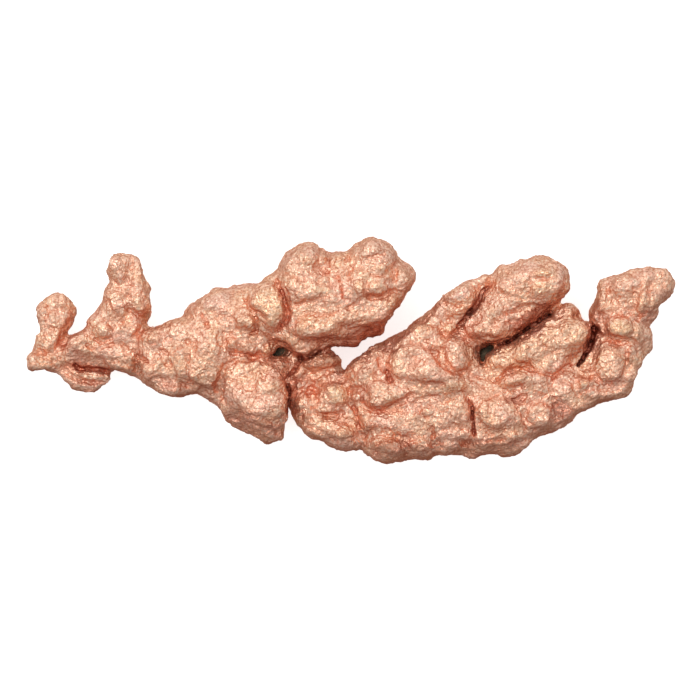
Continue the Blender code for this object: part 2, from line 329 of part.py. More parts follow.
CREVICES = [
    # Left finger, neck and thumb
    Crevice(0.8, 0.9, [(-44.2, 0.0), (-43.0, -0.3), (-41.5, -0.2), (-40.4, 0.4)]),
    Crevice(0.6, 0.6, [(-42.0, 6.8), (-42.0, 5.4), (-42.4, 4.6)]),
    Crevice(1.0, 1.3, [(-39.9, 1.6), (-40.2, 0.3), (-40.6, -1.0), (-40.6, -2.4)]),
    Crevice(0.8, 0.9, [(-30.2, 12.4), (-30.8, 10.0), (-31.0, 9.3)]),
    Crevice(0.8, 1.0, [(-30.8, 6.2), (-30.3, 5.7), (-29.4, 5.2), (-28.2, 4.8)]),
    Crevice(0.9, 1.1, [(-38.4, 0.0), (-37.0, -0.3), (-35.0, -0.5), (-34.3, -1.0), (-33.4, -1.9)]),
    Crevice(0.7, 0.7, [(-35.4, 2.0), (-33.8, 1.4), (-32.0, 1.0), (-30.8, 0.7)]),
    Crevice(1.2, 1.8, [(-28.2, 3.8), (-29.2, 2.4), (-29.3, 0.0), (-29.4, -2.6)]),
    Crevice(0.9, 2.6, [(-39.8, -1.7), (-38.0, -1.9), (-36.8, -2.4), (-35.0, -2.5), (-33.0, -2.7)]),
    # Left body
    Crevice(0.8, 0.9, [(-28.6, -0.8), (-27.2, -1.0), (-26.8, 0.0), (-25.3, 0.1), (-24.4, -0.6)]),
    Crevice(0.8, 1.0, [(-24.9, -0.6), (-25.0, -2.4), (-23.0, -3.6), (-21.0, -5.4), (-19.5, -5.4)]),
    Crevice(0.7, 0.9, [(-20.5, 5.4), (-20.1, 4.3), (-19.4, 3.5), (-21.0, 1.2), (-21.6, -0.6), (-22.0, -3.0)]),
    Crevice(0.7, 1.0, [(-14.4, 7.4), (-13.6, 6.2), (-12.4, 5.5), (-12.8, 4.4), (-12.8, 2.9), (-15.3, 3.0)]),
    Crevice(0.8, 1.4, [(-17.6, 2.4), (-17.4, 0.8), (-16.3, 0.0), (-15.0, -0.3), (-13.0, -0.9)]),
    Crevice(1.0, 2.0, [(-14.5, -0.7), (-16.4, -1.1), (-17.6, -2.4), (-17.7, -4.2), (-18.2, -6.8)]),
    # Upper lobe
    Crevice(0.9, 1.7, [(-10.0, 9.9), (-9.3, 8.2), (-8.6, 6.8), (-8.2, 5.3), (-8.7, 4.0), (-9.6, 3.2)]),
    Crevice(0.8, 1.0, [(-8.2, 6.8), (-6.0, 6.9), (-3.7, 7.5), (-1.8, 10.3), (-1.0, 9.6), (-0.6, 8.4)]),
    Crevice(0.8, 1.1, [(-3.5, 13.0), (-3.4, 11.4), (-2.6, 10.9), (-0.2, 10.6)]),
    Crevice(0.7, 0.9, [(0.1, 13.6), (0.3, 11.6), (2.6, 10.8), (5.6, 10.8), (6.3, 11.8)]),
    Crevice(0.8, 1.2, [(0.2, 6.4), (1.8, 7.5), (3.2, 7.7), (4.6, 7.8), (5.6, 9.0), (6.1, 10.4)]),
    Crevice(0.8, 0.9, [(-7.4, 4.6), (-4.6, 5.0), (-1.8, 3.6), (0.6, 3.8), (3.0, 4.4)]),
    Crevice(0.8, 1.0, [(-9.0, 3.2), (-6.6, 1.6), (-4.4, 1.4), (-2.0, 1.7)]),
    # Bridge
    Crevice(0.8, 1.2, [(-6.6, -2.6), (-5.6, -2.8), (-4.5, -2.6), (-3.0, -2.5), (-1.4, -2.2)]),
    Crevice(1.0, 1.6, [(-4.6, -4.2), (-5.0, -5.4), (-4.7, -6.8), (-4.6, -7.6)]),
    Crevice(0.7, 0.9, [(-4.3, -4.4), (-3.2, -4.8), (-1.0, -4.2), (0.2, -4.6), (0.4, -6.6), (-0.2, -8.2)]),
    Crevice(0.8, 1.2, [(-4.6, -7.6), (-2.6, -8.2), (-0.4, -8.7), (0.8, -8.2)]),
    Crevice(0.9, 1.5, [(-0.8, -3.0), (0.4, -3.9), (2.2, -5.0), (2.4, -7.0), (1.3, -9.3), (2.0, -12.8)]),
    # Right body
    Crevice(0.8, 1.4, [(5.9, 0.2), (5.4, -1.2), (5.2, -2.6), (5.9, -4.0), (9.0, -4.1), (12.0, -2.9)]),
    Crevice(0.9, 1.7, [(10.3, 0.8), (12.4, 0.1), (12.9, -1.2), (13.3, -2.4), (15.0, -2.9), (17.4, -3.3)]),
    Crevice(0.9, 1.5, [(2.4, -7.6), (4.0, -7.9), (5.0, -7.8), (6.6, -6.9), (9.5, -6.5), (12.2, -6.8)]),
    Crevice(0.7, 3.6, [(16.4, -6.2), (17.0, -7.2), (17.2, -9.5), (17.4, -11.4), (16.6, -12.6)]),
    Crevice(0.8, 1.2, [(2.4, -11.6), (4.5, -11.2), (7.8, -11.7), (9.6, -11.2), (11.7, -10.7)]),
    Crevice(0.8, 1.1, [(11.7, -10.7), (11.5, -12.2), (11.9, -14.6)]),
    Crevice(0.7, 0.9, [(7.5, -11.6), (7.7, -13.4), (8.1, -15.0)]),
    Crevice(0.8, 1.0, [(17.2, -9.6), (18.4, -10.2), (20.4, -11.2), (22.0, -10.4), (24.2, -10.6)]),
    Crevice(0.8, 1.3, [(24.0, -9.6), (24.2, -7.9), (25.4, -6.9), (27.6, -6.9), (28.4, -8.4), (28.2, -10.2)]),
    Crevice(0.8, 1.1, [(19.0, -6.2), (21.0, -5.6), (23.2, -5.6), (25.0, -6.4), (28.2, -6.6), (31.6, -6.2)]),
    # Fingers of the right hand
    Crevice(0.8, 1.4, [(18.0, -3.8), (20.2, -4.2), (21.4, -3.5), (23.5, -2.7), (26.0, -3.1), (28.6, -3.2)]),
    Crevice(0.8, 1.2, [(28.3, -4.0), (29.3, -2.6), (31.0, -1.9), (31.6, -5.9)]),
    Crevice(0.8, 1.3, [(11.4, 3.2), (12.7, 2.4), (13.6, 1.7), (14.9, 2.6), (15.3, 3.8)]),
    Crevice(0.7, 0.9, [(17.6, 4.6), (19.4, 4.1), (21.4, 4.4), (22.4, 6.0), (25.0, 6.4), (27.0, 6.2)]),
    Crevice(0.7, 0.8, [(22.0, -0.4), (22.8, -1.4), (24.3, -1.4), (25.4, -0.4), (28.6, 0.2), (30.6, 0.6)]),
    Crevice(0.7, 0.8, [(28.6, 4.4), (29.4, 4.1), (30.8, 4.4), (31.4, 4.8)]),
    Crevice(0.8, 1.0, [(36.4, 9.6), (36.0, 8.3), (37.0, 7.0), (36.9, 5.4)]),
    Crevice(0.8, 1.1, [(35.2, 5.0), (37.3, 5.3), (38.5, 5.0), (40.0, 4.9), (42.4, 5.2)]),
    Crevice(0.8, 1.2, [(34.7, 2.8), (35.5, 1.8), (37.3, 1.5), (38.8, 1.7), (41.4, 0.6)]),
    Crevice(0.8, 0.9, [(37.6, 0.8), (37.8, -1.6), (37.2, -3.8), (38.8, -4.6)]),
    Crevice(0.7, 0.8, [(39.4, 10.6), (39.6, 7.6), (39.4, 5.4)]),
]

# One foot: a lump of the underside that the nugget rests on. Its middle and its radius.
Foot = namedtuple("Foot", "x y radius")

FEET = [
    Foot(-25.0, -0.6, 4.2), Foot(-17.5, 3.4, 4.6), Foot(-13.4, -6.6, 4.2), Foot(-6.4, 10.4, 3.6),
    Foot(2.6, 9.6, 4.8), Foot(-2.6, -8.8, 4.0), Foot(7.2, -11.0, 4.0), Foot(9.4, -2.2, 4.6),
    Foot(20.6, -8.8, 4.8), Foot(24.6, 7.4, 3.6), Foot(28.6, -6.0, 3.6), Foot(36.9, -2.0, 3.4),
    Foot(39.6, 7.6, 3.4),
]

# One chip of host rock: its middle, its half sizes and its turns in degrees.
Chip = namedtuple("Chip", "x y z along across up turns")

CHIPS = {
    "host_rock_chip_left": Chip(-10.0, -0.1, 5.5, 1.7, 0.95, 1.5, (8, -10, 24)),
    "host_rock_chip_right": Chip(19.1, -0.3, 5.2, 1.9, 1.25, 1.7, (-6, 10, 58)),
}


def new_object(name, mesh, collection):
    obj = bpy.data.objects.new(name, mesh)
    collection.objects.link(obj)
    return obj


def settled(obj):
    """The object's mesh with its modifiers applied, and its modifiers gone."""
    graph = bpy.context.evaluated_depsgraph_get()
    mesh = bpy.data.meshes.new_from_object(obj.evaluated_get(graph))
    obj.modifiers.clear()
    obj.data = mesh


def remesh(obj, voxel):
    """Fuses everything in the mesh into one skin, on a grid of this size."""
    modifier = obj.modifiers.new("Fuse", "REMESH")
    modifier.mode = "VOXEL"
    modifier.voxel_size = voxel
    settled(obj)


def smooth(obj, times):
    modifier = obj.modifiers.new("Smooth", "SMOOTH")
    modifier.factor = 0.5
    modifier.iterations = times
    settled(obj)


def points_of(mesh):
    points = np.empty(len(mesh.vertices) * 3, np.float32)
    mesh.vertices.foreach_get("co", points)
    return points.reshape(-1, 3).astype(float)


def normals_of(mesh):
    normals = np.empty(len(mesh.vertices) * 3, np.float32)
    mesh.vertices.foreach_get("normal", normals)
    return normals.reshape(-1, 3).astype(float)


def set_points(mesh, points):
    mesh.vertices.foreach_set("co", points.astype(np.float32).ravel())
    mesh.update()


def distance_to_path(points, path, closed=False):
    """How far each point is from the path, seen from above."""
    nearest = np.full(len(points), np.inf)
    ends = list(path) + [path[0]] if closed else list(path)
    for start, end in zip(ends, ends[1:]):
        start = np.array(start, float)
        run = np.array(end, float) - start
        along = np.clip((points[:, :2] - start) @ run / (run @ run), 0, 1)
        off = points[:, :2] - start - along[:, None] * run
        nearest = np.minimum(nearest, np.hypot(off[:, 0], off[:, 1]))
    return nearest


def plate(name, lobe, collection):
    """A flat plate with the lobe's outline, on a fine even grid."""
    curve = bpy.data.curves.new(name, "CURVE")
    curve.dimensions = "2D"
    curve.fill_mode = "BOTH"
    curve.extrude = lobe.half
    spline = curve.splines.new("POLY")
    spline.points.add(len(lobe.outline) - 1)
    for point, (x, y) in zip(spline.points, lobe.outline):
        point.co = (x, y, 0, 1)
    spline.use_cyclic_u = True
    outline = new_object(name, curve, collection)
    graph = bpy.context.evaluated_depsgraph_get()
    mesh = bpy.data.meshes.new_from_object(outline.evaluated_get(graph))
    bpy.data.objects.remove(outline)
    flat = new_object(name, mesh, collection)
    remesh(flat, PLATE_VOXEL)
    return flat


def puffed(name, lobe, collection):
    """The lobe's plate, swollen: nothing thick at its outline, and full and round inside."""
    obj = plate(name, lobe, collection)
    points = points_of(obj.data)
    inward = np.minimum(distance_to_path(points, lobe.outline, closed=True) / lobe.edge, 1)
    swell = np.sqrt(1 - (1 - inward) ** 2)
    middle = np.mean(lobe.outline, axis=0)
    climb = (points[:, :2] - middle) @ np.array(lobe.climb, float)
    points[:, 2] = lobe.middle + climb + points[:, 2] * swell
    set_points(obj.data, points)
    return obj


def fused_lobes(collection):
    """Every lobe and foot, grown together into one body."""
    parts = [puffed(name, lobe, collection) for name, lobe in LOBES.items()]
    body = bmesh.new()
    for part in parts:
        body.from_mesh(part.data)
        bpy.data.objects.remove(part)
    for foot in FEET:
        place = Matrix.Translation((foot.x, foot.y, foot.radius))
        bmesh.ops.create_icosphere(body, subdivisions=3, radius=foot.radius, matrix=place)
    mesh = bpy.data.meshes.new("copper_nugget")
    body.to_mesh(mesh)
    body.free()
    nugget = new_object("copper_nugget", mesh, collection)
    remesh(nugget, FUSE_VOXEL)
    smooth(nugget, 3)
    return nugget


def lump_rise(points):
    """How far the lumps raise each point. Where two meet, the higher one stands, with a crease between them."""
    rise = np.zeros(len(points))
    for lump in LUMPS:
        turn = math.radians(lump.turn)
        x = points[:, 0] - lump.x
        y = points[:, 1] - lump.y
        u = (x * math.cos(turn) + y * math.sin(turn)) / lump.along
        v = (y * math.cos(turn) - x * math.sin(turn)) / lump.across
        rise = np.maximum(rise, lump.rise * np.sqrt(np.maximum(1 - u * u - v * v, 0)))
    return rise


def crevice_cut(points):
    """How far the crevices sink each point."""
    cut = np.zeros(len(points))
    for crevice in CREVICES:
        near = 1 - np.minimum(distance_to_path(points, crevice.path) / crevice.reach, 1)
        cut = np.maximum(cut, crevice.depth * near)
    return cut


def crumple(points):
    """The crumpled look: rounded facets with sharp valleys between them, in two sizes."""
    total = np.zeros(len(points))
    for width, height in zip(CRUMPLE_WIDTHS, CRUMPLE_HEIGHTS):
        values = [noise.turbulence(Vector(p) / width, 2, True) for p in points]
        total += height * (np.array(values) - CRUMPLE_MIDDLE)
    return total


def relief(points):
    return lump_rise(points) - crevice_cut(points)


def carve(nugget):
    """Lumps and crevices above and below, and the crumple all over except where the feet rest."""
    points = points_of(nugget.data)
    normals = normals_of(nugget.data)
    upward = np.clip(normals[:, 2] * 2, 0, 1)
    downward = np.clip(-normals[:, 2] * 2, 0, 1)
    above_rest = np.clip((points[:, 2] - WORN_DEPTH) / REST_FADE, 0, 1)
    points[:, 2] += upward * relief(points) - downward * above_rest * BACK_RISE * relief(points - BACK_SHIFT)
    points += normals * (crumple(points) * above_rest)[:, None]
    set_points(nugget.data, points)
    remesh(nugget, FUSE_VOXEL)
    smooth(nugget, 1)


def thin_out(nugget):
    """Brings the skin down to few faces, which keep its form."""
    count = sum(len(face.vertices) - 2 for face in nugget.data.polygons)
    modifier = nugget.modifiers.new("Thin out", "DECIMATE")
    modifier.ratio = TRIANGLES / count
    settled(nugget)


def wear_flat(nugget):
    """Cuts the feet off flat at the height that the nugget rests on."""
    body = bmesh.new()
    body.from_mesh(nugget.data)
    everything = body.verts[:] + body.edges[:] + body.faces[:]
    level = (0, 0, WORN_DEPTH)
    bmesh.ops.bisect_plane(body, geom=everything, plane_co=level, plane_no=(0, 0, 1), clear_inner=True)
    bmesh.ops.holes_fill(body, edges=[edge for edge in body.edges if edge.is_boundary])
    bmesh.ops.recalc_face_normals(body, faces=body.faces)
    body.to_mesh(nugget.data)
    body.free()


def chip_mesh(name, chip, grown):
    """A broken bit of rock: a coarse ball flattened to the chip's sizes, and this much bigger all round."""
    body = bmesh.new()
    bmesh.ops.create_icosphere(body, subdivisions=2, radius=1)
    for vert in body.verts:
        vert.co *= 1 + CHIP_UNEVEN * noise.noise(vert.co * CHIP_GRAIN + Vector((chip.x, chip.y, chip.z)))
        vert.co = Vector((vert.co.x * (chip.along + grown), vert.co.y * (chip.across + grown),
                          vert.co.z * (chip.up + grown)))
    mesh = bpy.data.meshes.new(name)
    body.to_mesh(mesh)
    body.free()
    return mesh


def placement(points):
    """The matrix that takes the tables' millimetres to metres, with the nugget's box over the origin."""
    low = points.min(axis=0)
    high = points.max(axis=0)
    scale = MM * NUGGET_LENGTH / (high[0] - low[0])
    middle = Vector((-(low[0] + high[0]) / 2, -(low[1] + high[1]) / 2, -low[2]))
    return Matrix.Scale(scale, 4) @ Matrix.Translation(middle)


def add_chips(nugget, place, parts, cutters):
    """Each chip sits in a hollow of its own, cut to its shape with the gap all round."""
    for name, chip in CHIPS.items():
        turns = [math.radians(turn) for turn in chip.turns]
        spot = place @ Matrix.LocRotScale((chip.x, chip.y, chip.z), Euler(turns), None)
        rock = new_object(name, chip_mesh(name, chip, 0), parts)
        rock.data.transform(spot)
        rock.data.materials.append(stone(name))
        hollow = new_object(name + "_hollow", chip_mesh(name, chip, CHIP_GAP), cutters)
        hollow.data.transform(spot)
        hollow.hide_render = True
        hollow.display_type = "WIRE"
        cut = nugget.modifiers.new(name + " hollow", "BOOLEAN")
        cut.object = hollow
        cut.operation = "DIFFERENCE"


def finish(name, colour, roughness, metallic):
    material = bpy.data.materials.new(name)
    material.use_nodes = True
    shader = material.node_tree.nodes["Principled BSDF"]
    shader.inputs["Base Color"].default_value = (*colour, 1)
    shader.inputs["Roughness"].default_value = roughness
    shader.inputs["Metallic"].default_value = metallic
    return material


def copper():
    return finish("native_copper", (0.83, 0.47, 0.33), 0.38, 1)


def stone(name):
    return finish(name + "_rock", (0.12, 0.11, 0.07), 0.85, 0)


def main():
    for obj in list(bpy.data.objects):
        bpy.data.objects.remove(obj)
    parts = bpy.data.collections.new("native_copper_nugget")
    cutters = bpy.data.collections.new("cutters")
    bpy.context.scene.collection.children.link(parts)
    bpy.context.scene.collection.children.link(cutters)
    nugget = fused_lobes(parts)
    carve(nugget)
    thin_out(nugget)
    wear_flat(nugget)
    place = placement(points_of(nugget.data))
    nugget.data.transform(place)
    nugget.data.materials.append(copper())
    add_chips(nugget, place, parts, cutters)


main()
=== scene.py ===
"""The looks of the native copper nugget: its crumpled skin, its copper and its rock, and the studio around it.

Blender's units are metres, +Z up. A table has one row a line, where x,y is a point. An indented line goes on with
the row above it, and a line with # says what part of the nugget the rows below it are on.
"""

import json
import math
from collections import namedtuple

import bmesh
import bpy
import numpy as np
from mathutils import Matrix, Vector, noise

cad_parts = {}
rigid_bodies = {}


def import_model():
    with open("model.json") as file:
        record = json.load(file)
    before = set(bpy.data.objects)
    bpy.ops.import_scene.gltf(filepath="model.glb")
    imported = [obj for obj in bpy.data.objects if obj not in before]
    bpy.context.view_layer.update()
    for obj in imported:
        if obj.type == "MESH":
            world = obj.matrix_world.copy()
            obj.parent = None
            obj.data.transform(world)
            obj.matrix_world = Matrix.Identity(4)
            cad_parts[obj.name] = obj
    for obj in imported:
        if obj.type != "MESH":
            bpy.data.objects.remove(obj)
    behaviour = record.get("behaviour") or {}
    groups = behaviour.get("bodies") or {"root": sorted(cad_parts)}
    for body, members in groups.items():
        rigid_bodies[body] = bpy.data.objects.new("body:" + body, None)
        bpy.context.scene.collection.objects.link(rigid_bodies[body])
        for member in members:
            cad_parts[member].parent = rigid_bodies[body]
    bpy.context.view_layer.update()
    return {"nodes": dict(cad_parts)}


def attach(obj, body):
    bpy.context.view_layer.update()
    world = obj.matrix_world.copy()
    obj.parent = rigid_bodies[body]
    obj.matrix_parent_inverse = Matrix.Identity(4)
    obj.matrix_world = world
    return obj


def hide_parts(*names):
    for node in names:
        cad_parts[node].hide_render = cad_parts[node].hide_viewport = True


MM = 0.001

# The skin: the grids that its main forms and its relief are remeshed on, and how often both are smoothed
FORM_VOXEL = 0.4
FORM_SMOOTHING = 6
SKIN_VOXEL = 0.2
SKIN_SMOOTHING = 8
TRIANGLES = 196000
REGROWTH = 0.2  # how far the skin is grown sideways, to the size that smoothing took from it
HOLLOW_ROUNDS, HOLLOW_REACH = 12, 24  # how often wide hollows are raised, and over how many edges they are levelled
SHOULDER = 3.8  # the radius of the round shoulders that are made steeper
TOP, PRESSED = 13.2, 0.4  # above this level the skin is pressed down by this share, to the height of its form
SIDE = 0.15  # the tables' relief sets in where the skin faces down less than this, and is full where it faces up more

# What the tables' rows do
SLAB_FADE = 0.6  # how far inside its outline a slab gets its colour and its calm
LUMP_SHARE = 0.75  # how much of their height the lumps stand out
SHALLOW_SHARE = 0.75  # how much of their depth the creases of up to 1 mm are cut
RED_SHARE = 0.7  # how wide a crease's painted red shade is, against its reach
RED_MARGIN = 0.9  # how far from a crease its painted red shade still counts
STEP_FADE = 1.6  # how far from a crease its step fades out
WAVER = 0.22  # how far all outlines and paths waver

# The crumple: how high its waves are and how wide, and then each layer of facets, with its height on level skin, what
# it gains where the skin stands upright, its width, and its place in the noise
WAVES = (0.15, 2.6)
FACETS = [(0.23, 0, 1.8, (3, 8, 1)), (0.14, 0.04, 0.8, (6, 2, 4)), (0.1, -0.04, 0.42, (1, 5, 9))]
# The facets of the upright rims, which are full up to the first level and gone at the second: height, width, place
RIM_FACETS = (0.6, 3.0, (4, 4, 7))
RIM_LEVELS = (2, 5)
SEAM = 0.4  # how wide the step or crease between two facets is, against their width
BEND = 0.35  # how far the facets' edges waver
CALMED = 0.4  # how much lower the crumple is where the skin is calm
REST_LEVEL = 0.6  # below this level the crumple fades out, towards the faces that the nugget rests on

# How much painted shade darkens the sides towards -Y, away from the light, and the underside, where 1 is most
PAINTED_SHADE_FRONT = 0.85
PAINTED_SHADE_UNDERSIDE = 0.35

# The copper's first colour, and what it is turned into: by what, from which of its values to which, by what share at
# the second value, and the colour
COPPER = (0.98, 0.56, 0.42, 1)
COPPER_SHEEN = (0.60, 0.27, 0.18, 1)
TINTS = [
    ("patches", 0.35, 0.65, 1, (0.98, 0.575, 0.365)),
    ("gold", 0, 1, 1, (0.97, 0.61, 0.36)),
    ("gold", 0, -1, 1, (0.86, 0.52, 0.41)),
    # Fine random speckle: its bright specks are painted glints and its dark specks painted shade
    ("glint_and_shade_speckle", 0.50, 0.62, 0.9, (1.0, 0.74, 0.56)),
    ("glint_and_shade_speckle", 0.49, 0.37, 0.9, (0.66, 0.31, 0.20)),
    # Painted shade and reflected light: creases turn red-orange, the colour copper light takes where it reflects back
    # and forth in them
    ("red", 0, 1.6, 1, (0.90, 0.36, 0.22)),
    # Painted shade: concave spots turn darker red-brown
    ("hollow_shade", 0.01, 0.09, 0.4, (0.74, 0.34, 0.22)),
    # Painted shade: the shade spots, the sides towards -Y and the underside turn dark brown-red
    ("painted_shade", 0, 1, 1, (0.42, 0.12, 0.07)),
    # Painted shade: the deepest cuts of creases and gaps turn nearly black-red
    ("deep_cut_shade", 0.6, 2.4, 1, (0.36, 0.12, 0.08)),
    ("seams", 0.06, 0, 0.45, (0.66, 0.24, 0.14)),
]
# In metres, as all of a material's lengths: how high its grain stands, and how far its seams waver
GRAIN_HEIGHT = 0.00026
SEAM_WANDER = 0.0007
ROCK_TINTS = [(0.35, (0.045, 0.045, 0.03, 1)), (0.7, (0.16, 0.13, 0.08, 1))]

# The camera looks straight down
VIEW_MIDDLE = (0.06, 0.1)  # what it looks at, in millimetres
VIEW_WIDTH = 97.2  # what its picture is wide, in millimetres, at VIEW_LEVEL
VIEW_LEVEL = 6.5
CAMERA_HEIGHT = 1000.0
SENSOR = 36.0

# How bright the studio is from straight below (0) over the horizon (0.5) to straight above (1), and how much more or
# less it is towards +X and +Y, but never less than LEAST_LIGHT
WORLD_LEVELS = [(0.01, 0.53), (0.35, 0.58), (0.5, 0.65), (0.7, 0.74), (0.85, 0.83), (0.99, 0.91)]
WORLD_SIDES = (-0.10, 0.28)
LEAST_LIGHT = 0.03
KEY_PLACE, KEY_SIZE, KEY_POWER = (-0.2, 0.2, 0.7), 0.2, 1.0  # in metres and watts

# The tables' origin, in the frame
TABLE_ORIGIN = (-0.083, -0.178)

Slab = namedtuple("Slab", "rise edge gold calm outline")
Lump = namedtuple("Lump", "x y along across turn rise")
Crease = namedtuple("Crease", "depth reach red step path")
ShadeSpot = namedtuple("ShadeSpot", "x y along across turn share")
Flap = namedtuple("Flap", "x y z turn radii")


def rows(text):
    """The numbers of each row of a table."""
    found = []
    for line in text.split("\n"):
        numbers = [] if line.startswith("#") else [float(word) for word in line.replace(",", " ").split()]
        if line.startswith(" "):
            found[-1] += numbers
        elif numbers:
            found.append(numbers)
    return found


def pairs(numbers):
    return list(zip(numbers[::2], numbers[1::2]))


# Broad swells of the surface, or flattenings where the last number is negative: x, y, half-widths, turn, rise
SWELLS = [Lump(*row) for row in rows("""
8.4 -1.2 3.2 2.8 0 -.8
12.6 -3.3 4.2 2 -22 .9
-4.6 -1.5 3.4 1.6 8 .5
-5.2 -4.9 1.8 1.5 0 -.9
-2.6 -8.9 2.2 .8 5 -.6
-1.4 -11 3 1.4 -20 .4
9.4 -12.8 1.8 1.6 0 .4
14 -12.9 2 1.4 0 .4
-39.6 1.6 .9 1.6 -30 -.8
-10.4 -3.6 1.6 2.4 -20 .7
-14.4 -3.6 3.4 3 0 -.9
-11.6 -7.4 3.4 3.6 -30 .5
-29.2 1.4 1.6 3.8 0 .6
25.2 -3.4 6.5 1.7 8 .6
4.6 -5.8 2.2 1.6 0 -.3
5.2 -13.2 2.8 2 -15 .5
-1 9.4 1.6 3.2 0 .4
-4.6 3.3 3.4 1.9 5 -.3
14.8 -1 2.4 2 0 -.4
20.6 -9.2 3 2.6 0 -.3
26.3 -8.6 1.9 1.7 0 -.35
""")]

# Places where the copper is painted darker brown-red, as painted shade on flanks and in cracks: x, y, half-widths,
# turn, and how much
PAINTED_SHADE_SPOTS = [ShadeSpot(*row) for row in rows("""
1.8 2.2 4.6 1.5 30 .9
6.2 5.2 3.2 1.1 50 .4
-12.7 -10 5.2 1.7 -30 .5
-4.5 -1.3 2.9 .9 5 .5
-6.7 -3.6 1.3 1.7 0 .4
6.5 -13.9 4.4 2.1 -3 .5
18.4 -13.3 6.4 1.6 6 .5
25.3 4.9 4.4 1.1 34 .85
33.5 1.6 3 .9 66 .8
34.2 5.2 2.4 .8 80 .5
30.8 -9.2 6 1.4 24 .4
29.5 -8 1.9 1.3 -30 .6
22.8 -6.6 1.7 .6 5 .5
-36.6 -1.6 2.6 .7 -12 .5
-24.6 -4.6 5 1.3 -22 .35
17.3 6 3.4 .6 50 .6
-36 -4.3 2.8 .7 -3 .4
-3.5 -11.4 3.2 .9 -28 .3
""")]

# Lumps that reach over the chips' sockets: x, y, z, turn, and three radii
FLAPS = [Flap(*row[:4], row[4:]) for row in rows("""
-11.5 .4 7.3 35 1.3 .55 .5
-8 -.6 6.9 -20 .8 .5 .5
19.9 -.9 6.6 40 1.3 .85 .6
17.7 -1.6 6.6 80 .9 .5 .5
""")]

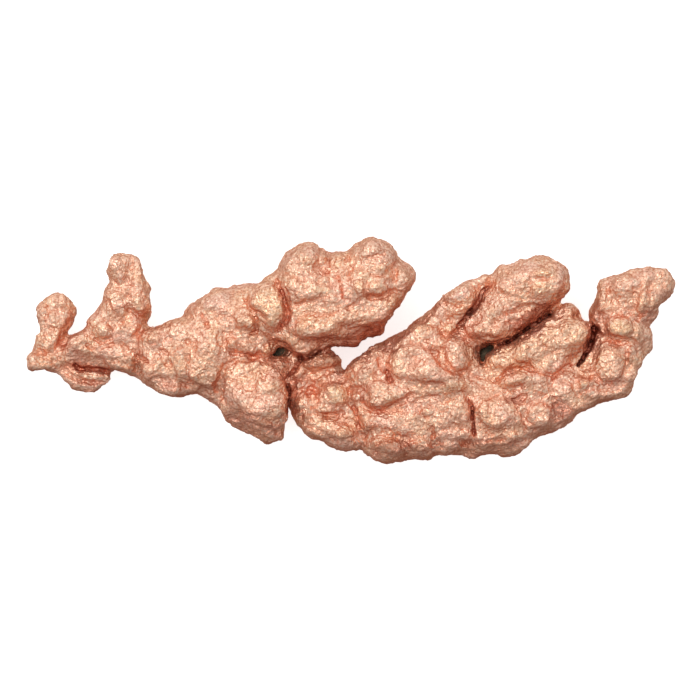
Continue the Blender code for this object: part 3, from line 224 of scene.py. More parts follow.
# Plates that stand out of the surface: how far, how wide the rounded edge is, how golden (1) or grey (-1) they are,
# how little they are crumpled (1 is smooth), and then the points of the outline
SLABS = [Slab(*row[:4], pairs(row[4:])) for row in rows("""
# The left finger
.35 1.2 0 .4 -41.9,5.3 -41.9,3.6 -41.2,3.2 -40.4,3.3 -40.1,4.4 -40.3,5.6 -41.2,6
.3 .8 0 .2 -41.6,7.2 -40.6,7.6 -39.5,7.2 -38.9,6.2 -39.6,5.8 -40.6,6.1 -41.4,6.3
.35 .6 0 .2 -44.7,-.9 -44.3,-.1 -43.7,-.2 -43.1,-.6 -43.1,-1.6 -43.6,-2.3 -44.4,-2.4
# The neck and the thumb
.35 .9 -.3 .4 -33.3,12.3 -32.9,13.2 -31.9,13.5 -31.4,12.8 -31.6,11.4 -32.3,11 -33,11.3
.25 .8 -.7 .6 -32.4,10.9 -31.5,11.3 -30.9,10.7 -31,9.7 -31.7,9.2 -32.2,9.9
.55 .8 .5 .5 -30,8.2 -29.3,8.4 -28.6,7.6 -28.3,6.2 -28.6,5.2 -29.4,5.3 -30,6.2 -30.3,7.2
.45 1 .2 .3 -35.6,3 -35.2,4 -34.4,4.5 -33.5,4.2 -33,3.2 -33.2,2.2 -34,1.7 -35.1,1.9
.25 .8 -.5 .7 -33.6,.2 -33,.7 -31.6,.8 -31,.2 -31.2,-.8 -32.3,-1.1 -33.3,-.8
# The pea
.5 .5 .2 0 -39.2,-2.9 -38.7,-2.1 -37.8,-2.5 -37,-2.7 -35.5,-2.6 -34.5,-2.7 -33.4,-2.9 -33.5,-3.4 -34.5,-4 -35.8,-4.1
 -37.2,-3.8 -38.3,-3.3
# The left body
.4 .9 .1 .4 -28.9,2.5 -28,3 -27,2.7 -26.7,1.7 -27.4,1.2 -28.6,1
.35 .9 0 0 -22.6,-1.6 -21.6,-1.3 -20.6,-1.6 -20.3,-2.7 -20.9,-3.7 -22,-3.8 -22.6,-2.9
.4 .7 .1 .3 -15.8,5.6 -14.5,6.2 -13.6,5.7 -12.9,4.9 -12.9,3.9 -14,3.5 -15.2,3.7 -15.9,4.5
.25 .9 -.8 .7 -20.8,6.9 -19.3,8 -17.6,8.7 -16.2,8.6 -16,7.3 -17,6 -18.8,5.6 -20.2,5.8
.4 .5 .3 .2 -17,1.2 -16.8,2 -16.1,2 -15.6,1.5 -15.7,.7 -16.3,.4 -16.8,.6
# The upper lobe: the golden block, the head, the middle, and the lumps to its right
.55 1 .8 .3 -13.9,7 -13,8.4 -12,9 -10.6,9.4 -9.9,9 -9.5,8.2 -9.1,7 -8.8,5.8 -8.9,4.8 -9.5,4 -10,3.2 -10.7,2.7
 -11.3,3.2 -12,4.8 -12.6,5.6 -13.5,6
.5 1.2 -.3 .3 -10,11.5 -9.3,12.7 -8.3,13.9 -7,14.8 -5.5,15.3 -4.6,15 -4.2,14.3 -4.3,13.2 -4.6,12.2 -5.2,11.3 -6,10.5
 -7.2,10.3 -8.3,10.8 -9.3,11
.3 .5 .4 .3 -7.2,13.1 -6.2,13.5 -5,13.2 -4.7,12.2 -5.3,11.6 -6.8,11.7
.35 .5 -.2 .5 -4.2,14.3 -3.6,14.1 -3.1,13 -3.2,12 -4,11.8 -4.4,12.8
.4 1.3 -.4 .3 .2,13.9 1.5,15 3,15.6 4.3,15.2 5.4,14.6 6.2,13.9 6.7,12.8 6.5,12 5.5,11.7 4.5,12.5 3.5,12.7 2.4,12.9
 1.4,13 .5,12.9
.22 .4 0 .4 2.3,13.5 3,14 4.3,14.1 4.6,13.5 3.6,13.1 2.6,13.1
.4 .4 1 .6 3.2,11.6 3.6,12.1 4.6,12.2 5.2,11.6 4.9,11.1 3.9,11.1
.35 .5 .3 .3 .6,11 1.3,11.4 2.4,11.3 3,10.8 2.7,10.1 1.6,10.2 .8,10.3
.5 .5 .9 .5 .4,9.9 .6,9 1.3,8.1 2,8.2 2.2,9 2,9.8 1.2,10.1
.5 .5 .3 .2 2.5,9.6 2.8,8.7 3.5,8.1 4.6,8.3 5.1,8.8 4.9,9.5 4,9.9 3.2,10
.35 1 -.2 .2 6.3,11.9 7.5,12.1 8.4,11.2 8.8,10.2 8.5,9.2 7.8,8.6 6.5,8.9 5.8,9.6 5.7,10.4 6,11.3
.3 .8 .2 0 -9.3,10 -8.3,10.5 -7,10.1 -6,9.9 -5,9.5 -3.5,9.4 -2.3,9.1 -1.6,8.3 -1.3,7.4 -2,6.6 -3,6.4 -3.7,7.2 -4.8,7.1
 -6,7 -7,6.9 -8,7.5 -8.6,8.6 -9.2,9.3
.25 .6 .5 .5 -5.9,8.8 -5.2,9.3 -3.5,9.3 -2.3,8.8 -2.2,8 -3.2,7.8 -4.6,7.9 -5.6,8.1
.55 1.6 .4 .2 -7.6,3.1 -7.3,4.1 -6.3,4.8 -5,5.1 -3.5,5 -2.3,4.9 -1.5,4.2 -1.3,3.2 -1.9,2.3 -3,1.8 -4.5,1.7 -6,1.6
 -7,2.1
# The flap beside the left chip
.5 .4 .9 .3 -12.4,0 -11.9,-.8 -11.3,-.6 -10.4,.2 -9.9,.9 -10.6,1.3 -11.4,1.2
# The lower lobe
.6 .7 0 .1 -17.3,-3.5 -17.1,-2.6 -16.4,-1.8 -15.5,-1.2 -14,-1.1 -12.5,-1.3 -11.3,-1.7 -10.3,-2.4 -9.7,-3.4 -9.3,-4.5
 -9,-5.5 -8.9,-6.6 -8.8,-8 -8.9,-9.2 -9.3,-10.3 -10,-10.8 -11.5,-10.2 -13.5,-9.2 -15.5,-8 -17,-7 -17.4,-6 -17.1,-5
.3 .6 0 .2 -14.3,-2 -14.1,-1.4 -13.2,-1.1 -12.4,-1.5 -12.1,-2.2 -12.7,-2.7 -13.8,-2.7
# The bridge
.55 .6 .2 .2 -6.3,-1.5 -5.5,-1.1 -4.6,-.6 -4,0 -3,.1 -2,-.4 -1.4,-1.2 -1.3,-1.8 -2.5,-1.9 -3.5,-2.1 -4.5,-2.4
 -5.6,-2.5 -6.4,-2.2
.5 .5 .7 .3 -7.2,-2.5 -6.5,-2 -5.9,-2.6 -5.7,-3.1 -6.5,-3.4 -7.6,-3.7 -8.1,-3.4 -7.8,-2.9
.55 .7 .8 .7 -3.6,-4.9 -2.8,-4.4 -1.6,-4.3 -.6,-4.6 0,-5.2 .1,-6 -.3,-6.8 -1,-7.4 -2.2,-7.4 -3.1,-7 -2.8,-6.2
 -3.2,-5.5
.4 .4 .3 .2 -4.6,-7.4 -4,-7 -3.1,-7.2 -2.2,-7.6 -1.9,-8.2 -3,-8.4 -4.2,-8.2 -4.8,-8
.45 .8 .3 .3 -2,-10.9 -1.4,-10.2 -.8,-9.9 .2,-9.7 1,-9.9 1.3,-10.4 1.1,-11.2 .3,-11.8 -.8,-12 -1.6,-11.7
.5 .4 -.1 .5 .3,-6.3 .8,-5.6 1.4,-5.5 1.8,-6 1.8,-6.6 1.3,-6.8 .7,-6.7
.45 .35 0 .5 1.1,-7.6 1.6,-7.3 2.1,-7.8 2.6,-8.5 2.5,-8.9 2,-8.9 1.6,-8.4
# The right body: the big oval, the pit beside it, the block, the lip and the fields around them
.55 .8 .1 .5 5.7,-1 6.1,0 6.9,.7 8,1 9.3,.9 10.2,.5 10.9,-.1 11.6,-.9 12.3,-1.7 13.1,-2.6 14.3,-3.1 15.5,-3.2 15,-3.8
 13.5,-4.1 11.8,-4.3 10.2,-4.1 9,-3.7 7.6,-3.6 6.5,-3.7 5.9,-3.1 5.6,-2
-1.1 .6 -.6 .5 10.6,.6 11.7,.9 12.7,.3 12.7,-.8 13.1,-1.9 13.3,-2.4 12.9,-2.1 12.1,-1.2 11.3,-.2
.55 .6 0 0 12.9,1 13.8,1.4 15.2,1.5 16.4,.9 17,.3 16.9,-.6 16.6,-1.8 16.1,-2.4 15.3,-2.5 14.7,-2.8 14,-2.5 13.5,-2.2
 13.1,-1.2 12.9,-.2
.4 .8 0 .1 2.6,-5.3 3.3,-4.7 4.2,-4.1 5.3,-4.2 6.3,-4.5 7.4,-4.7 8.3,-5.2 8.6,-5.6 8,-5.9 7.3,-6.3 6.4,-6.7 5.2,-7.1
 4.2,-7.5 3.2,-7.3 2.8,-6.5
.3 .8 0 .4 12.8,-6.9 14,-6.4 15.5,-5.7 16.2,-6.3 16.7,-7.2 16.8,-8.5 16.8,-9.7 16,-9.9 14.8,-9.8 13.8,-9.2 13.3,-8.3
.35 .9 .6 .3 10.6,-4.6 12.5,-4.5 14.3,-3.9 15.8,-3.5 16.2,-4.4 15.9,-5.2 14.8,-5.7 13.2,-6.1 12,-5.8 10.8,-5.6
.35 .5 .4 .2 9.9,-7.3 11,-7.5 11.8,-8 11.4,-8.8 10.4,-8.8 9.9,-8.3
.4 .35 0 .1 7.8,-12 8.6,-12.1 9.3,-12.4 9.8,-13 9.3,-13.3 8.6,-13.2 8.2,-12.7
.45 .4 .1 0 3.9,-12.6 4.6,-12.2 5.6,-12.1 6.6,-12.3 7,-12.7 6.9,-13.2 6.6,-13.8 5.8,-13.6 4.9,-13.2 4,-13
# The thin finger
.3 .6 -1 .9 13.2,7.2 14,8 15,8.8 16.3,9.2 17,8.6 16.8,7.7 16,6.9 14.8,6.8 13.9,6.8
.45 .7 .6 .6 12.9,3.8 13.8,4.2 14.7,4.2 14.8,3.5 14.3,2.7 13.6,2.3 13,2.7 12.8,3.2
# The big finger
.4 .5 .1 .1 16.4,3.4 17,3.7 18.2,3.8 18.4,3 17.8,2.4 17,2.1 16.5,2.5
.3 .5 .8 .5 25.4,10.9 26,11.4 27,11.5 28,11.2 28,10.6 27,10.3 26,10.3
.35 .9 .7 .2 25,9.6 25.8,10.1 26.8,10 27.8,9.7 28.3,9 27.8,8.2 26.8,7.8 25.6,7.8 24.9,8.6
.3 .9 -.9 .9 28.7,11.9 29.8,11.8 30.3,10.9 30.3,9.6 29.5,9.2 28.8,9.8 28.5,10.9
.25 .9 -.6 .5 23.4,12 24,12.7 25.4,12.7 26.8,12.6 27.3,12 26,11.7 24.4,11.6
# The middle finger, and what lies below it
.45 .9 .5 0 19.3,-.4 20.3,.5 21.5,.9 22.7,1.2 23.5,1.7 24.6,1.9 25.4,2.5 26.6,2.9 27,4.1 27.8,4.6 29.3,4.7 30.5,5
 31.3,4.6 32.6,3.9 33.4,3.2 33.3,2.2 32.9,1.2 32.2,.4 31.6,-.2 30.6,-.5 29.2,-1 28.3,-1.7 28,-2.5 27,-2.8 26,-2.7
 25.3,-2.3 24.6,-1.9 24,-2.1 22.6,-2.5 21.6,-2.9 20.8,-3.6 19.9,-3.8 19.2,-2.7 18.9,-1.4
.45 .4 .9 .4 20.3,-4.6 21.5,-4 23,-3.7 24.3,-3.4 24.5,-3.8 23.8,-4.4 22.6,-4.8 21.4,-5 20.6,-5.1
-.6 .5 -.6 .6 21.3,-6.3 22.4,-6.9 23.1,-7.3 24.2,-7 25,-6.4 24.7,-5.9 23.8,-5.9 22.8,-6.2
.45 1 .2 .3 24.8,-8.5 25,-7.6 25.9,-7.1 26.9,-7.2 27.6,-7.9 27.8,-8.8 27.5,-9.7 26.8,-10.1 25.9,-9.8 25.2,-9.4
-.35 .5 -.8 .1 27.9,-7.1 28.6,-6.7 29.4,-7 30.1,-7.4 30.7,-8 30.2,-8.8 29.3,-9.3 28.3,-9.6 27.9,-8.7
.5 .6 .9 .7 31.6,-4.2 32.1,-3.9 33,-3.8 33.4,-4.4 33,-5 32.2,-5.3 31.6,-5
-.8 .35 0 .5 31.1,-5.7 32,-5.8 32.1,-6.6 31.6,-6.2
# The right arm
.3 .6 -1 .8 38.4,9.6 39,10.3 40.2,10.2 40.5,9.4 39.9,8.8 39,8.8
.25 .6 -.8 .8 36.9,9.2 37.6,9.8 38.6,9.3 38.9,8.6 38,8.3 37.1,8.5
.55 .6 .2 .5 41,10 41.4,9.4 41.1,8.4 41.2,7 40.9,6 40.2,5.7 39.8,6.2 39.9,7.2 40.3,8.2 40.6,9.3
.65 .9 1 .9 35.9,4 36.4,4.6 37.3,4.9 38.1,4.7 39,4.3 39.4,3.5 39.1,2.6 38.4,2 37.5,1.9 36.6,2.3 35.9,2.7 35.7,3.3
.35 .6 -.3 .6 40.9,3.8 41.8,3 41.9,1.8 41.8,.8 41.2,.1 40.8,.8 40.7,2.4
.55 .9 .1 .2 34.5,.8 35.3,1 36.3,1 37.4,1.1 38.2,.6 38.5,-.6 38.3,-1.8 37.7,-3 37,-3.9 36.2,-4.2 35.6,-4.7 34.9,-4.3
 34.5,-3.2 34.2,-2.2 34.2,-1.2 34.6,-.2
""")]

# Rounded lumps: x, y, half-widths, turn, and how high they stand
LUMPS = [Lump(*row) for row in rows("""
# The left finger
-42.9 5.6 .4 .9 -10 .3
-42.3 5.9 .35 .8 -20 .35
-39.8 5.3 .6 .5 0 .22
-39.2 4.7 .6 .5 20 .22
-39.6 4 .6 .4 0 .22
-42.6 2 .45 1.2 -15 .25
-41.4 2.1 .4 1.1 0 .28
-40.6 2.3 .45 1.1 -20 .22
-42.2 .7 .8 .5 0 .22
-42.1 -1.2 1.1 .22 -8 .2
-41.9 -1.8 1.2 .25 -4 .2
-40.2 -.3 .6 .8 0 .28
# The neck and the thumb
-33.4 11.3 .35 .9 0 .25
-32.5 12.1 .5 .8 0 .15
-29.7 11.1 .5 .2 0 .25
-29.6 12.6 .7 1 10 .2
-29.4 9.2 .22 1.2 3 .22
-28.8 9.2 .22 1.1 5 .22
-33.2 8 .7 .8 0 .35
-31.9 7.7 .8 .8 0 .28
-31.3 6.6 .7 .6 0 .25
-32.3 6.4 .5 .6 0 .22
-34.5 5.2 .22 .7 -15 .22
-33.9 5.4 .22 .8 -10 .22
-33.2 5.3 .25 .8 -5 .22
-31.5 3.2 .9 .8 10 .28
-30.3 3 .7 .6 0 .22
-30.9 1.8 .9 .6 0 .28
-30.1 .7 .6 .7 0 .25
-30.4 -.5 .8 .7 0 .25
-33.6 -1.2 .6 .4 -20 .25
-38 1.2 .9 .8 20 .28
-36.9 1.8 .8 .7 20 .25
-36.4 3 .7 .5 30 .22
-38.7 .3 .5 .7 0 .2
-35.9 4.1 .5 .6 0 .22
# The pea
-37.4 -3 .5 .3 -10 .15
-36.2 -3.3 .5 .35 10 .15
-34.6 -3.2 .6 .35 0 .18
-39 -2.2 .7 .3 40 .25
# The left body
-24.8 2.9 1 .7 10 .25
-26.3 3.2 .6 .5 10 .2
-23.3 0 .8 .7 -30 .28
-24.3 -.5 .7 .6 -30 .22
-26.3 -1.1 1 .8 -40 .3
-27.8 -.2 .7 .6 -40 .22
-25 -3.2 .9 .7 -30 .28
-23.4 -3 .8 .9 0 .28
-19.8 -2.6 .9 1 0 .3
-20.3 .5 .8 1 0 .28
-19.2 2.3 .9 .8 -30 .28
-18.3 .1 .7 .6 0 .22
-18.1 -1.9 .6 .7 0 .22
-22.2 2.6 .9 .7 20 .25
-21.2 3.9 .9 .6 30 .25
-16.5 4.3 .5 .9 10 .25
-18.9 4.4 .8 .7 -50 .25
-14.3 2.3 .8 .5 0 .22
-14.3 1.1 .8 .5 0 .2
-12.4 2 .2 .9 50 .25
-11.8 1.7 .2 .9 50 .25
-15.3 8.2 .7 .5 0 .25
-14.8 7.1 .6 .7 0 .22
-11.4 4.1 .7 .7 0 .18
# The upper lobe
-1.9 13.2 1 .6 10 .28
-1.7 12 1 .6 0 .28
-.4 13 .5 .7 -30 .25
-8.7 10 .5 .5 0 .25
-8.8 8.9 .5 .5 0 .25
-7.9 8.9 .5 .7 10 .22
-7 8.6 .45 .8 0 .22
-6.3 7.5 .5 .4 0 .22
-7.7 7.4 .5 .4 0 .22
-2.4 7.2 .9 .6 0 .22
-3.2 10 .7 .5 -20 .22
-4.6 10.5 .8 .6 20 .25
.2 8.2 .7 1.1 20 .22
0 11.2 .5 .9 -20 .22
-.9 4.6 .35 .8 -40 .25
-.1 4.3 .35 .8 -40 .25
-.4 5.5 .6 .4 0 .2
5.6 6.8 .6 .8 -20 .25
4.1 10.8 .8 .3 5 .25
5.3 10.4 .4 .6 0 .25
-7.6 1.6 .6 .5 -20 .35
-6.1 1.1 .8 .35 -10 .22
-4.9 .9 .5 .35 0 .22
-5.9 .1 .8 .45 0 .28
-7.1 -.2 .5 .35 0 .22
# The lower lobe
-9.5 -4.8 .7 .5 10 .28
-9.6 -3.8 .6 .4 20 .22
-9.1 -5.6 .35 .4 0 .28
-10.9 -1.6 .7 .4 -20 .28
-9.7 -1.6 .7 .5 -10 .28
-8.9 -2 .5 .5 0 .22
-14.4 -8.9 1 .3 -20 .25
-11.6 -9.3 .9 .3 -15 .25
-10.3 -10.2 .5 .4 0 .28
-9.6 -9.5 .45 .5 0 .25
-16.3 -7.6 .7 .25 -30 .22
-12.5 -10 .9 .25 -20 .22
-16.5 -4.6 .7 .8 0 .15
-14.8 -4.3 .8 .7 0 .14
-11.8 -4.4 .9 .7 0 .14
-15 -6.2 .9 .7 0 .14
-10.6 -6.8 .8 .6 0 .16
-10.3 -8 .7 .6 0 .16
# The bridge
-4.8 -4.5 .45 .45 0 .38
-5.5 -4.4 .4 .35 0 .22
-5.1 -5.7 .5 .45 0 .25
-3.9 -5.8 .4 .6 -20 .28
-3.4 -3.7 .5 .4 0 .22
-2.3 -3.4 .7 .4 -10 .22
-3.7 -9.4 1 .5 -10 .25
-2.4 -9.9 .7 .4 -20 .22
-5.9 -8.9 .25 .8 0 .38
-1.2 -8.8 .6 .5 0 .22
.1 -7.9 .5 .6 0 .22
.2 -12.5 .8 .5 10 .22
2.3 -11.1 .2 .7 45 .28
-4.8 -11 1.2 .4 -35 .22
# The right body
2.2 -.9 .6 .45 40 .3
3.2 .2 .8 .5 20 .25
3.4 -.9 .5 .5 0 .22
1.1 -2.6 .6 .5 0 .3
2.8 -2.6 1 .6 10 .25
4.2 -2.9 .4 .6 0 .38
1 -1.4 .6 .5 0 .2
5.6 1 .5 .5 0 .22
6.5 .9 .5 .4 0 .2
4.45 -.7 .22 1.1 5 .32
5.05 -.9 .22 1.2 5 .32
4 -5.6 .8 .18 25 .18
5 -5.9 .9 .18 25 .18
6.2 -5.8 .8 .18 25 .18
4.2 -6.6 .9 .22 20 .18
13.8 .4 .6 .5 0 .2
15.2 .5 .7 .6 0 .2
14.2 -1 .7 .6 0 .2
15.7 -1 .6 .8 0 .2
17.6 -.8 .5 1.3 5 .28
17 -4.6 .9 .8 0 .3
18.4 -5.2 .8 .35 -35 .28
8.6 -8.5 .5 .5 0 .22
9.4 -8.7 .4 .5 0 .2
10 -10.9 1.3 .5 -20 .22
8 -10.6 1.2 .4 -15 .22
6.1 -9.3 1.4 .6 0 .2
4 -9.1 1.2 .6 0 .22
3.3 -10 .8 .4 0 .2
6 -11.2 .8 .22 -10 .3
7.7 -13.2 .7 .35 -45 .35
10.8 -13 .8 .35 -10 .3
12 -10.4 .5 .5 0 .22
12.6 -11.6 .8 .6 -20 .22
14.4 -11.2 1.2 .7 -10 .25
16.1 -11.2 .6 .8 20 .25
14 -12.6 1.5 .6 0 .28
5 -14.5 2.2 .7 -5 .3
9.6 -14.2 1.8 .6 -3 .28
13.2 -13.6 .8 .6 0 .25
18 -13.3 1.6 .7 -5 .28
18.7 -8.5 .8 .9 0 .28
20.5 -8.4 1.2 1 0 .28
22.2 -9.4 1 1.2 0 .25
20.6 -10.2 1 .8 0 .25
22.9 -11.4 1 .7 10 .28
25.3 -10.9 .9 .5 10 .25
21.6 -12.8 1.2 .6 0 .22
23.4 -8 .6 .8 20 .22
# The thin finger
13 6.3 .8 .6 40 .25
12.2 5.3 .8 .5 40 .25
13.9 5.3 .8 .5 40 .22
15.2 5.9 .8 .5 40 .22
11.4 4.5 .7 .4 40 .2
18.9 9.9 .9 .6 10 .25
17.6 9.3 .6 .4 0 .2
# The big finger
18.6 3 .6 .7 0 .32
20.2 2.9 .6 .8 0 .38
19.4 3.5 .45 .4 0 .25
20.8 4.5 .55 .4 20 .32
18 5.4 1.2 .45 35 .22
18.5 6.4 .4 .4 0 .22
20.6 6.8 .8 .6 0 .22
20.8 5.8 .7 .4 10 .2
22.1 6.6 .8 .5 10 .2
21.3 8.6 .9 .6 10 .22
21.4 10.3 .9 .7 20 .28
23.1 10.4 .7 .8 0 .25
24.1 9.3 .6 .7 0 .22
23.1 6.4 .3 .25 0 .28
22 4.6 1.3 .35 35 .25
23.4 3.9 1 .3 30 .28
24.4 5 .7 .4 30 .25
21.7 3.4 1.1 .35 30 .25
22.6 2.7 .9 .3 30 .22
19.5 1.9 1 .4 -5 .25
26.3 7.15 .8 .2 -5 .3
28.6 8.8 .6 .15 -50 .18
29.2 8.7 .6 .15 -50 .18
# The middle finger
20.4 -1 .8 .8 0 .25
22.2 -1.2 .9 .7 0 .25
25.8 -.3 1.3 1 0 .25
28.3 2.8 .8 .6 0 .28
27.8 4 .8 .45 10 .25
30.5 5.5 .8 .6 0 .28
30 3.3 1 .6 0 .25
31.4 1.9 1.1 .7 20 .25
29.3 1.4 .9 .6 0 .2
26.9 1.5 .9 .6 10 .22
24.4 .6 .8 .6 0 .22
27.3 -1.6 .8 .6 0 .22
30 -.2 .7 .4 -20 .2
32.4 3 .7 .5 -20 .22
# Below the middle finger
26.8 -3.8 .9 .6 0 .25
26.6 -5.2 1.2 .7 0 .22
28.9 -5 .9 .7 -30 .22
30.3 -3.3 .9 .5 10 .22
29.6 -2.1 .15 .5 -35 .28
30.2 -2.5 .6 .15 20 .2
31.1 -1.7 .5 .13 -35 .3
33.1 -3.2 .9 .35 -5 .28
33.9 -4.4 .6 .15 -30 .32
34.3 -4 .7 .15 -30 .32
34.6 -4.8 .5 .13 -35 .28
33.9 -6 .7 .15 10 .25
30.9 -7.2 .25 .22 0 .22
31.4 -7.7 .25 .22 0 .22
30.1 -6.3 .7 .4 -30 .25
32.9 -6.9 .9 .4 10 .22
# The right arm
38.6 10.3 .6 .15 40 .25
39 11 .5 .25 0 .18
35.4 7.5 .35 .9 0 .28
36.2 7.3 .22 .7 10 .28
35.8 6.2 .6 .35 0 .25
36.7 6.1 .2 .6 -10 .2
38.3 7.2 .9 .6 0 .22
38.4 6.4 .8 .3 10 .2
37.9 8 .8 .2 10 .22
42.6 8.8 .9 1.2 -20 .22
44 8.8 .5 .4 0 .22
43.3 10.5 .9 .7 -10 .22
42 6.8 .2 1 -15 .22
42.6 6.6 .2 .9 -15 .22
40.7 4.9 .6 .35 20 .25
40.1 3 .6 1.2 0 .22
35.3 -.9 .6 .5 0 .22
36.8 -.6 .8 .9 0 .22
35.2 -3 .5 1 -5 .25
36.6 -2.6 .6 .7 0 .22
38.75 -.6 .2 1.4 3 .28
39.4 -.8 .2 1.4 5 .25
38 -4.6 .6 .9 -35 .22
36.4 -5.6 1.1 .3 5 .22
37.4 -6.2 .9 .3 15 .22
40.3 -1.6 .3 1 5 .18
34.4 4.6 .5 .9 0 .2
""")]
